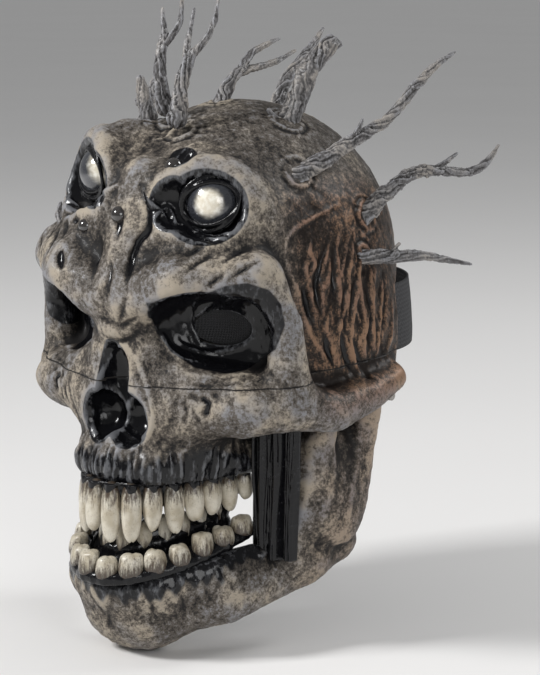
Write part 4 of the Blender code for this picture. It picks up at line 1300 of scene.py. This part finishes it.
# %% Tooth paint and wet gum
def tooth_paint(start, place):
    along = attribute(start, "along")
    streaks = noise(start, place, 1.6, 3, 0.7, stretch=(1, 1, 0.16))
    specks = noise(start, place, 0.9, 3, 0.75)
    cloud = noise(start, place, 9, 2, 0.5)
    stain = (along * -2.3 + 1.0 + (streaks - 0.5) * 2.6 + (specks - 0.5) * 0.7).between(-0.15, 0.8)
    enamel = cloud.between(0.3, 0.7).mix(rgb(0.4, 0.35, 0.26), rgb(0.6, 0.56, 0.47))
    enamel = (specks.between(0.54, 0.7) * 0.5).mix(enamel, rgb(0.14, 0.11, 0.08))
    dark = streaks.between(0.35, 0.6).mix(rgb(0.01, 0.009, 0.008), rgb(0.07, 0.05, 0.035))
    return {"Base Color": stain.mix(enamel, dark), "Roughness": 0.3 + specks * 0.25 - stain * 0.12,
            "Normal": bumped(start, streaks * 0.6 + specks * 0.4, 0.35, 0.6)}


def black_latex(start, place):
    ripple = noise(start, place, 3.2, 3, 0.6)
    fine = noise(start, place, 0.8, 2, 0.6)
    dry = (fine * 0.7 + ripple * 0.6).between(0.76, 1.0)
    return {"Base Color": (dry * 0.3).mix(rgb(0.004, 0.004, 0.005), rgb(0.2, 0.2, 0.22)),
            "Roughness": 0.13 + ripple * 0.16 + dry * 0.12,
            "Normal": bumped(start, ripple + fine * 0.25, 0.5, 0.6)}


enamel = finish("tooth_paint", tooth_paint, Coat_Weight=0.2, Coat_Roughness=0.15)
gloss = finish("black_latex", black_latex, Coat_Weight=0.25, Coat_Roughness=0.07,
               Specular_IOR_Level=0.2)

# %% Make the three rows, each gum cut flat at its seat
for number, (name, row) in enumerate(ROWS.items()):
    teeth = tooth_row(row, 100 * number)
    seat = below([(y, jaw_seat(y)) for y in (-FAR, FAR)], FAR) if row["up"] else slab(GUM_Z, 0)
    gum = cut(gum_row(row, 50 + number), seat)
    add_piece(name + "_teeth", teeth, enamel, row["body"], (row["node"],))
    add_piece(name + "_gum", gum, gloss, row["body"])

# %% [markdown]
# ## Eyes
# The upper eyes are blind: a cream pupil swims in a slate grey ball, under black folded
# lids. The cream sits on the bright spot seen on each ball and is wider on the far one,
# so it is partly a pupil and partly a painted reflection. A ball is a sphere, but the
# pupil is paint, so each vertex stores how near it is to the direction of gaze. The lids
# are rolls of black latex laid round the ball, fused by a remesh and relaxed. The
# forehead also holds three small glossy beads.

# %% Where the eyes look, and where their painted reflections sit
# Picture spots of the cream on each ball, at its bright spot; the far (right) eye's wider cream is
# partly a painted reflection.
PUPIL_AND_REFLECTION_SPOTS = {"left": (208, 203), "right": (108, 164)}
PUPIL_AND_REFLECTION_RADIUS = {"left": 6.8, "right": 10.0}


def eye_centre(side):
    """The middle of an upper eyeball, mm."""
    return np.array([side * EYE_X, EYE_Y, EYE_Z + (EYE_LIFT if side < 0 else 0.0)])


def gaze(centre, pixel):
    """The direction from a ball's middle to the spot seen at a place in the picture."""
    ray = rays_to([pixel])[0]
    ray /= np.linalg.norm(ray)
    offset = camera_spot - centre
    along = -(offset @ ray)
    miss = max(EYE_RADIUS ** 2 - (offset @ offset - along ** 2), 0.0)
    return (offset + ray * (along - math.sqrt(miss))) / EYE_RADIUS


def ball(centre, radius, segments=56, rings=36):
    mesh = bmesh.new()
    bmesh.ops.create_uvsphere(mesh, u_segments=segments, v_segments=rings, radius=radius)
    bmesh.ops.translate(mesh, vec=centre, verts=mesh.verts)
    return finished(mesh)


# %% Eyeballs and their paint
def eye_resin(start, place):
    pupil = attribute(start, "pupil")
    cloud = noise(start, place, 3.5, 3, 0.6)
    veins = noise(start, place, 1.4, 3, 0.7)
    # The cream is partly a pale pupil, partly a painted reflection.
    edge = (pupil + (cloud - 0.5) * 0.22).between(0.25, 0.62)
    ball_grey = veins.mix(rgb(0.012, 0.013, 0.017), rgb(0.05, 0.053, 0.062))
    cream = cloud.between(0.35, 0.7).mix(rgb(0.68, 0.62, 0.5), rgb(0.86, 0.83, 0.74))
    return {"Base Color": edge.mix(ball_grey, cream), "Roughness": 0.1 + cloud * 0.08,
            "Normal": bumped(start, veins, 0.15, 0.3)}


eye_paint = finish("eye_resin", eye_resin, Coat_Weight=1.0, Coat_Roughness=0.03)
for word, side in SIDES.items():
    centre = eye_centre(side)
    eyeball = ball(centre, EYE_RADIUS)
    facing = (vertex_array(eyeball) - centre) @ gaze(centre, PUPIL_AND_REFLECTION_SPOTS[word]) / EYE_RADIUS
    reach = np.arccos(np.clip(facing, -1, 1)) * EYE_RADIUS
    store(eyeball, "pupil", np.clip(1 - 0.5 * reach / PUPIL_AND_REFLECTION_RADIUS[word], 0, 1))
    add_piece("upper_eyeball_" + word, eyeball, eye_paint, "skull",
              ("upper_eye_" + word,))

# %% Lids round the upper eyes
LID_WAY = (0.42, -0.9, 0.05)    # where the lids' opening faces, on the left
LID_TILT = 0.12
LIDS = [(0.74, 0.2, 1.7), (0.88, 1.8, 1.9), (-0.72, 0.2, 1.5), (-0.86, 1.6, 1.9)]


def lid_roll(centre, side, open_up, reach, radius):
    """Half a ring of latex over or under a ball, from its inner to its outer corner."""
    line = []
    way = np.array(LID_WAY) * (side, 1, 1)
    way /= np.linalg.norm(way)
    across = np.cross((0, 0, 1), way)
    across /= np.linalg.norm(across)
    up = np.cross(way, across)
    turns = np.linspace(0, math.pi, 15)
    for turn in turns:
        high = open_up * math.sin(turn) + LID_TILT * math.cos(turn) * side
        wide = 0.96 * math.cos(turn)
        forward = math.sqrt(max(0.04, 1 - min(0.96, high ** 2 + (wide * 0.86) ** 2)))
        line.append(centre + reach * (wide * across + high * up + forward * way))
    return Bar(line, [radius * (0.6 + 0.4 * math.sin(turn)) for turn in turns])


for word, side in SIDES.items():
    rolls = [lid_roll(eye_centre(side), side, open_up, EYE_RADIUS + gap, radius)
             for open_up, gap, radius in LIDS]
    add_piece("upper_lids_" + word, smoothed(voxel(solid_of(rolls), 0.6), 2), gloss, "skull")

# %% Beads and their paint
def bead_gloss(start, place):
    cloud = noise(start, place, 2.5, 2, 0.5)
    return {"Base Color": cloud.mix(rgb(0.008, 0.007, 0.007), rgb(0.05, 0.045, 0.042)),
            "Roughness": 0.06 + cloud * 0.08}


bead_paint = finish("bead_gloss", bead_gloss, Coat_Weight=1.0, Coat_Roughness=0.02)
for word in ("centre", "left", "right"):
    low, high = packed_box("bead_eye_" + word)
    add_piece("glossy_bead_" + word, ball((low + high) / 2, (high - low).max() / 2, 32, 20),
              bead_paint, "skull", ("bead_eye_" + word,))

# %% [markdown]
# ## Branch horns
# The horns are dead branches cast in latex: long fibres twist along them, with knots and
# snapped ends. Each run is a tapering rod through a few points. After the runs are fused
# by a fine remesh, every vertex finds its run and its angle round it, and ridges that
# follow that angle, turning slowly along the run, become the bark.

# %% The runs of each branch, mm
BRANCHES = {
    "branch_brow_stub": [([(-28, -47, 136), (-30, -49, 147), (-31, -50, 157)], [5, 4, 2.5])],
    "branch_brow_right": [
        ([(-14, -49, 142), (-15, -50, 155), (-16, -50, 168), (-16, -46, 181)], [5.5, 4, 3.5, 3]),
        ([(-16, -46, 181), (-20, -43, 197)], [2.6, 1]),
        ([(-16, -48, 176), (-11, -43, 184), (-8, -41, 191), (-8, -40, 204)], [2.6, 2, 1.8, 1])],
    "branch_brow_left": [
        ([(4, -58, 137), (5, -56, 150), (6, -54, 162), (7, -48, 173)], [6, 4.5, 4, 3]),
        ([(6, -52, 166), (1, -45, 179), (-2, -36, 197)], [2.8, 2, 1]),
        ([(7, -48, 172), (12, -41, 182), (14, -37, 191), (14, -34, 202)], [2.6, 2, 1.8, 1])],
    "branch_crown_front": [
        ([(-6, -10, 142), (-6, -3, 152), (-5, 6, 160)], [5, 4, 3]),
        ([(-5, 6, 160), (-8, 20, 169), (-8, 32, 174), (-8, 46, 177)], [2.8, 2.4, 2, 1]),
        ([(-5, 6, 159), (-3, 22, 162), (-4, 38, 164), (-4, 56, 170)], [2.8, 2.4, 2, 1])],
    "branch_crown_right": [
        ([(-14, 48, 132), (-16, 64, 153), (-18, 86, 168), (-20, 103, 181)], [5, 4, 3, 1.2])],
    "branch_crown_left": [
        ([(34, -3, 124), (37, 6, 142), (40, 17, 164), (42, 32, 176)], [8, 6.5, 6, 5.5]),
        ([(42, 32, 176), (43, 39, 176)], [5, 2]),
        ([(35, -4, 132), (31, -10, 140)], [3, 1.5])],
    "branch_temple_left": [
        ([(62, -26, 104), (71, -6, 115), (79, 12, 126), (86, 31, 136), (92, 45, 152)],
         [6.5, 5, 4, 3.2, 3]),
        ([(92, 45, 152), (97, 59, 164), (101, 73, 172)], [3, 2.4, 1]),
        ([(78, 9, 125), (81, 12, 136)], [2.5, 1])],
    "branch_temple_right": [
        ([(-62, -26, 104), (-72, -8, 118), (-82, 8, 130), (-90, 24, 146)], [6.5, 5, 4, 3]),
        ([(-90, 24, 146), (-97, 38, 160)], [3, 1]),
        ([(-80, 6, 128), (-84, 2, 140)], [2.5, 1])],
    "branch_ear_left": [
        ([(78, 16, 80), (85, 27, 92), (94, 43, 104), (102, 58, 105)], [6.5, 5, 4, 3.4]),
        ([(102, 58, 105), (109, 75, 103), (115, 86, 108), (119, 92, 118)], [3.2, 2.8, 2.4, 1]),
        ([(100, 55, 105), (106, 69, 114)], [2.4, 1])],
    "branch_ear_right": [
        ([(-78, 16, 80), (-86, 28, 94), (-94, 46, 104), (-104, 60, 112)], [6.5, 5, 4, 3]),
        ([(-104, 60, 112), (-112, 76, 120)], [3, 1])],
    "branch_low_left": [
        ([(85, 6, 59), (95, 18, 58.5), (103, 29, 59), (111, 42, 57), (122, 62, 52)],
         [5, 4, 3.5, 2.6, 1]),
        ([(96, 20, 60), (99, 24, 66)], [2, 1])],
    "branch_forehead_right": [
        ([(-64, -74, 72), (-71, -77, 77), (-76, -71, 84)], [4, 3, 1.2])],
}
print(len(BRANCHES), "branches of", sum(len(runs) for runs in BRANCHES.values()), "runs")


# %% Bark
BARK_DETAIL = 0.62


def bark(runs, seed):
    """A branch whose skin is twisted ridges."""
    lines = [(smooth_line(points, 5), np.interp(np.linspace(0, 1, (len(points) - 1) * 5 + 1),
                                                np.linspace(0, 1, len(points)), radii))
             for points, radii in runs]
    mesh = voxel(solid_of([Bar(line, list(radii)) for line, radii in lines]), BARK_DETAIL)
    points = vertex_array(mesh)
    best = np.full(len(points), 1e9)
    angle = np.zeros(len(points))
    along = np.zeros(len(points))
    thick = np.ones(len(points))
    for line, radii in lines:
        travelled = 0.0
        for start, end, radius in zip(line, line[1:], radii):
            run = end - start
            length = np.linalg.norm(run)
            way = run / length
            side = np.cross(way, (0.3, 0.9, 0.1))
            side /= np.linalg.norm(side)
            offset = points - start
            t = np.clip(offset @ way, 0, length)
            away = offset - t[:, None] * way
            gap = np.linalg.norm(away, axis=1)
            closer = gap - radius < best
            best = np.where(closer, gap - radius, best)
            angle = np.where(closer, np.arctan2(away @ np.cross(way, side), away @ side), angle)
            along = np.where(closer, travelled + t, along)
            thick = np.where(closer, radius, thick)
            travelled += length
    rng = np.random.default_rng(seed)
    twist = rng.uniform(0.05, 0.11) * rng.choice((-1, 1))
    sway = 0.5 * waves(points, 14, seed + 1)
    lift = np.zeros(len(points))
    for ridges, share in ((3, 0.13), (7, 0.08), (13, 0.05)):
        phase = rng.uniform(0, 6)
        wave = np.sin(0.5 * ridges * (angle + twist * along + sway) + phase)
        lift += share * (1 - 1.9 * np.abs(wave))
    lift = lift * np.minimum(thick, 4.5) + 0.25 * waves(points, 5, seed + 2)
    lift -= 0.4 * smooth_step(waves(points, 8, seed + 3), 0.5, 0.9)
    pushed(mesh, points, lift)
    store(mesh, "hollow", np.clip(hollowness(mesh, 6), -0.6, 0.6))
    return mesh


# %% Branch paint and the horns
def branch_latex(start, place):
    hollow = attribute(start, "hollow")
    fibre = noise(start, place, 1.1, 4, 0.7, stretch=(1, 1, 0.3))
    patch = noise(start, place, 14, 2, 0.5)
    # Darker in the bark's grooves and paler on its ridges: partly dry-brushed paint, partly painted
    # shade in the grooves and painted highlight on the ridges.
    high = 0.42 + hollow * -1.25 + (fibre - 0.5) * 1.3 + (patch - 0.5) * 0.9
    base = high.between(0.0, 0.5).mix(rgb(0.014, 0.013, 0.013), rgb(0.085, 0.08, 0.08))
    pale = patch.between(0.4, 0.65).mix(rgb(0.25, 0.25, 0.265), rgb(0.3, 0.275, 0.25))
    return {"Base Color": high.between(0.35, 1.0).mix(base, pale),
            "Roughness": 0.36 + high.between(0.3, 0.9) * 0.14,
            "Normal": bumped(start, fibre, 0.4, 0.7)}


bark_paint = finish("branch_latex", branch_latex, Coat_Weight=0.12, Coat_Roughness=0.25)
for number, (name, runs) in enumerate(BRANCHES.items()):
    add_piece(name.replace("branch", "horn"), bark(runs, 200 + 10 * number), bark_paint, "skull",
              (name,))

# %% [markdown]
# ## Webs at the corners of the mouth
# Between each cheek and the jaw hangs a web of thin black latex with sinews in it. It is
# glued to both castings, so it has to fold when the jaw closes and stretch when it
# opens. It is made at rest.

# %% Webs
WEB_INNER_X = 53.0
WEB_OUTER_X = 83.0
WEB_TOP = -26.0
WEB_LOW = -109.0
WEB_THICK = 1.6
WEB_STEPS = 96
WEB_STRINGS = 14


def web_spot(side, share, down):
    """A spot of the web: share runs from its inner edge to its outer, down from its top."""
    x = WEB_INNER_X + (WEB_OUTER_X - WEB_INNER_X) * share
    y = -50 + 2.2 * math.sin(share * math.pi * 6) + 7 * share ** 3
    return np.array([side * (x - 4 * down * share), y, WEB_TOP + (WEB_LOW - WEB_TOP) * down])


def web_mesh(side, seed):
    """A thin curtain of latex with sinews in it."""
    rng = np.random.default_rng(seed)
    sheet = bmesh.new()
    bmesh.ops.create_grid(sheet, x_segments=WEB_STEPS, y_segments=WEB_STEPS, size=0.5)
    strings = [(rng.uniform(0.03, 0.97), rng.uniform(0.012, 0.03), rng.uniform(0.8, 2.2),
                rng.uniform(0, 6)) for _ in range(WEB_STRINGS)]
    for vert in sheet.verts:
        share, down = vert.co.x + 0.5, vert.co.y + 0.5
        lift = 0.0
        for place, width, height, wave in strings:
            middle = place + 0.025 * math.sin(wave + 5 * down)
            lift = max(lift, height * math.exp(-((share - middle) / width) ** 2))
        vert.co = web_spot(side, share, down) - (0, lift, 0)
    return with_modifier(finished(sheet), "SOLIDIFY", thickness=WEB_THICK, offset=0)


for word, side in SIDES.items():
    web = add_piece("mouth_web_" + word, web_mesh(side, 300 + side), gloss, None,
                    ("cheek_web_" + word,))
    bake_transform(web)

# %% [markdown]
# ## Screens, pads, strap and pins
# The last pieces are what makes it wearable: fine black mesh behind each lower socket,
# grey foam at the crown and brow, a flat elastic glued inside both rear edges, and the
# steel pins of the jaw. The foam is a simple form with rounded edges and open cells in
# its surface; the elastic is a strip with ribs across it.

# %% Screen paint
def screen_mesh(start, place):
    threads = [start.node("TexWave", {"bands_direction": way, "wave_profile": "SIN"},
                          {"Vector": place, "Scale": 240.0, "Distortion": 0.4})
               for way in ("X", "Z")]
    weave = start.math("MAXIMUM", threads[0], threads[1])
    fluff = noise(start, place, 2.4, 3, 0.7)
    return {"Base Color": (weave.between(0.3, 0.8) * (fluff * 0.8 + 0.2)).mix(
                rgb(0.001, 0.001, 0.0015), rgb(0.02, 0.02, 0.023)),
            "Roughness": 0.55 + fluff * 0.25, "Normal": bumped(start, weave, 0.3, 0.8)}


screen_paint = finish("screen_mesh", screen_mesh)

# %% Vision screens
SCREEN_HALF_WIDTH = 22.0
SCREEN_HALF_HEIGHT = 14.5
SCREEN_THICK = 0.8
SCREEN_GAP = 0.3            # between a screen and the socket's wall
SOCKET_DEPTHS = np.arange(-40, -90, -0.2)


def screen_disc(word):
    """An oval cloth pressed against the inside of a socket's wall."""
    middle = sum(packed_box("vision_screen_" + word)) / 2
    disc = bmesh.new()
    bmesh.ops.create_grid(disc, x_segments=32, y_segments=32, size=1)
    flat = np.array([vert.co for vert in disc.verts])
    ring = np.abs(flat[:, :2]).max(1) / np.maximum(np.linalg.norm(flat[:, :2], axis=1), 1e-9)
    x = middle[0] + SCREEN_HALF_WIDTH * flat[:, 0] * ring
    z = middle[2] + SCREEN_HALF_HEIGHT * flat[:, 1] * ring
    spots = np.stack(np.broadcast_arrays(x[:, None], SOCKET_DEPTHS[None, :], z[:, None]), axis=2)
    reach = form_distance(SKULL, SKULL_CUTS, spots.reshape(-1, 3), -SKIN).reshape(len(x), -1)
    y = SOCKET_DEPTHS[np.argmax(reach > 0, axis=1)] + SCREEN_GAP + SCREEN_THICK / 2
    for vert, spot in zip(disc.verts, np.c_[x, y, z]):
        vert.co = spot
    area = sum(face.calc_area() for face in disc.faces)
    return with_modifier(finished(disc), "SOLIDIFY", thickness=SCREEN_THICK, offset=0), area


for word in SIDES:
    disc, area = screen_disc(word)
    print("screen area, mm2:", round(area))
    screen = add_piece("socket_screen_" + word, disc, screen_paint, "skull",
                       ("vision_screen_" + word,))
    area * MM * MM

# %% Foam paint
def grey_foam(start, place):
    cells = start.node("TexVoronoi", {"feature": "F1"}, {"Vector": place, "Scale": 900.0})
    cloud = noise(start, place, 8, 3, 0.6)
    mottle = cells * 0.5 + cloud * 0.5
    return {"Base Color": mottle.mix(rgb(0.05, 0.05, 0.052), rgb(0.17, 0.17, 0.172)),
            "Roughness": 0.9 + cloud * 0.08, "Normal": bumped(start, cells, 0.5, 0.9)}


foam_paint = finish("grey_foam", grey_foam)

# %% Foam pads
PAD_GAP = 0.4               # between a pad and the latex
PAD_DETAIL = 1.1


def pad_mesh(*tools):
    """What is left of the head's space after the tools, with rounded edges."""
    mesh = cut(sculpted(SKULL, SKULL_CUTS, CORE, grow=-SKIN - PAD_GAP), *tools)
    return smoothed(voxel(mesh, PAD_DETAIL), 5)


crown_low = packed_box("crown_pad")[0]
brow_low, brow_high = packed_box("brow_pad")
crown_pad = pad_mesh(beyond(2, crown_low[2], -1))
brow_pad = pad_mesh(beyond(2, brow_low[2], -1), beyond(2, brow_high[2], 1),
                    beyond(0, brow_high[0], 1), beyond(0, brow_low[0], -1),
                    beyond(1, brow_high[1], 1))
for name, mesh in (("crown_pad", crown_pad), ("brow_pad", brow_pad)):
    foam = add_piece("foam_" + name, mesh, foam_paint, "skull", (name,))

# %% The way of the elastic strap
BAND_WIDTH = 38.0
BAND_THICK = 1.6
BAND_Z = 20.0
BAND_GLUED = 16.0
BAND_START_Y = 12.0
BAND_BACK_Y = 108.0
STRAP_STEPS = 122


def wall_x(y, z, grow):
    """Where the side of the form lies at (y, z), found from outside inward."""
    xs = np.arange(115, 60, -0.25)
    points = np.c_[xs, np.full(len(xs), float(y)), np.full(len(xs), float(z))]
    return float(xs[np.argmax(form_distance(SKULL, SKULL_CUTS, points, grow) < 0)])


def strap_line(z):
    """The strap's middle line at a height, from its left end to its right."""
    end_y = BAND_START_Y + BAND_GLUED
    side = [(wall_x(y, z, -SKIN) - BAND_THICK / 2, y) for y in (BAND_START_Y, end_y)]
    free = [(side[1][0] * math.cos(t), end_y + (BAND_BACK_Y - end_y) * math.sin(t))
            for t in np.linspace(0, math.pi, STRAP_STEPS - 1)[1:-1]]
    return np.array([*side, *free, *[(-x, y) for x, y in reversed(side)]])


# %% Weave the strap
strap = bmesh.new()
heights = np.linspace(-BAND_WIDTH / 2, BAND_WIDTH / 2, 15) + BAND_Z
bmesh.ops.create_grid(strap, x_segments=STRAP_STEPS, y_segments=len(heights) - 1, size=1)
strap.verts.ensure_lookup_table()
along_layer = strap.verts.layers.float.new("along")
across_layer = strap.verts.layers.float.new("across")
lines = [strap_line(z) for z in heights]
runs = [np.r_[0, np.cumsum(np.linalg.norm(np.diff(line, axis=0), axis=1))] for line in lines]
for vert in strap.verts:
    column = round((vert.co.x + 1) / 2 * STRAP_STEPS)
    row = round((vert.co.y + 1) / 2 * (len(heights) - 1))
    vert[along_layer] = runs[row][column]
    vert[across_layer] = heights[row] - BAND_Z
    vert.co = (*lines[row][column], heights[row])
strap = with_modifier(finished(strap), "SOLIDIFY", thickness=BAND_THICK, offset=0)


# %% Strap paint
RIB_PITCH = 1.9             # mm
BRAID_PITCH = 2.4


def black_elastic(start, place):
    along = attribute(start, "along")
    across = attribute(start, "across")
    ribs = start.math("SINE", along * (2 * math.pi / RIB_PITCH)) * 0.5 + 0.5
    sway = start.math("SINE", along * 1.65) * 1.2
    braid = start.math("SINE", across * (2 * math.pi / BRAID_PITCH) + sway)
    weave = ribs * 0.7 + (braid * 0.5 + 0.5) * 0.5
    fuzz = noise(start, place, 0.7, 3, 0.7)
    return {"Base Color": (weave.between(0.3, 1.0) * (0.6 + fuzz * 0.5)).mix(
                rgb(0.008, 0.008, 0.009), rgb(0.055, 0.055, 0.06)),
            "Roughness": 0.62 + fuzz * 0.25, "Normal": bumped(start, weave + fuzz * 0.2, 0.5, 0.9)}


elastic = add_piece("elastic_strap", strap, finish("black_elastic", black_elastic), "skull",
                    ("back_strap",))

# %% Jaw pins
def pin_steel(start, place):
    scratch = noise(start, place, 0.6, 3, 0.7, stretch=(0.2, 1, 1))
    tarnish = noise(start, place, 3, 3, 0.6)
    return {"Base Color": tarnish.between(0.4, 0.7).mix(rgb(0.46, 0.45, 0.44), rgb(0.3, 0.27, 0.24)),
            "Roughness": 0.28 + scratch * 0.25, "Normal": bumped(start, scratch, 0.1, 0.4)}


steel = finish("pin_steel", pin_steel, Metallic=1.0)
for word in SIDES:
    for material_slot in bpy.data.objects["jaw_pin_" + word].material_slots:
        material_slot.material = steel

# %% [markdown]
# ## Floor and light
# A pale floor at the chin, a pale world and soft lamps. The key lamp stands on the left
# as in the photograph, so the furrows are drawn by its shadows; the fill is weak. The
# world looks nearly white to the camera, lights the mask at a lower level, and is dimmer
# still in reflections, so that wet latex stays black.

# %% Floor
floor_grid = bmesh.new()
bmesh.ops.create_grid(floor_grid, x_segments=1, y_segments=1, size=60)
floor = bpy.data.objects.new("floor", finished(floor_grid))
floor.location = (0, 0, cad_box[0][2])
bpy.context.scene.collection.objects.link(floor)


def floor_paint(start, place):
    cloud = noise(start, place, 400, 2)
    return {"Base Color": cloud.mix(rgb(0.8, 0.79, 0.78), rgb(0.84, 0.83, 0.82))}


floor.data.materials.append(finish("pale_floor", floor_paint, Roughness=0.6))

# %% World
SEEN_LEVEL = 0.95           # what the camera sees
WORLD_LEVEL = 0.4           # what lights the mask
MIRROR_LEVEL = 0.22         # what wet latex reflects
world = bpy.data.worlds.new("studio")
bpy.context.scene.world = world
world.use_nodes = True
air = Paint(world.node_tree)
rays = [air.node("LightPath", output=name) for name in
        ("Is Camera Ray", "Is Glossy Ray", "Is Transmission Ray")]
shown = air.math("MAXIMUM", rays[0], rays[2])
background = world.node_tree.nodes["Background"]
background.inputs["Color"].default_value = rgb(0.93, 0.94, 0.95)
level = shown * (SEEN_LEVEL - WORLD_LEVEL) + rays[1] * (MIRROR_LEVEL - WORLD_LEVEL) + WORLD_LEVEL
world.node_tree.links.new(level.socket, background.inputs["Strength"])


# %% Lamps
def lamp(name, spot, size, watts, aim=(0, -0.03, 0.02)):
    """A square soft lamp at a spot, in metres, turned to the mask."""
    data = bpy.data.lights.new(name, "AREA")
    data.size = size
    data.energy = watts
    made = bpy.data.objects.new(name, data)
    made.location = spot
    made.rotation_euler = (Vector(aim) - Vector(spot)).to_track_quat("-Z", "Y").to_euler()
    bpy.context.scene.collection.objects.link(made)
    print(name, "lamp,", watts, "W")


lamp("key", (-0.75, -1.25, 1.15), 0.45, 30)
lamp("fill", (1.6, -0.9, 0.6), 0.8, 8)
lamp("rim", (0.9, 1.3, 1.2), 0.7, 14)
bpy.context.scene.view_settings.view_transform = "Standard"
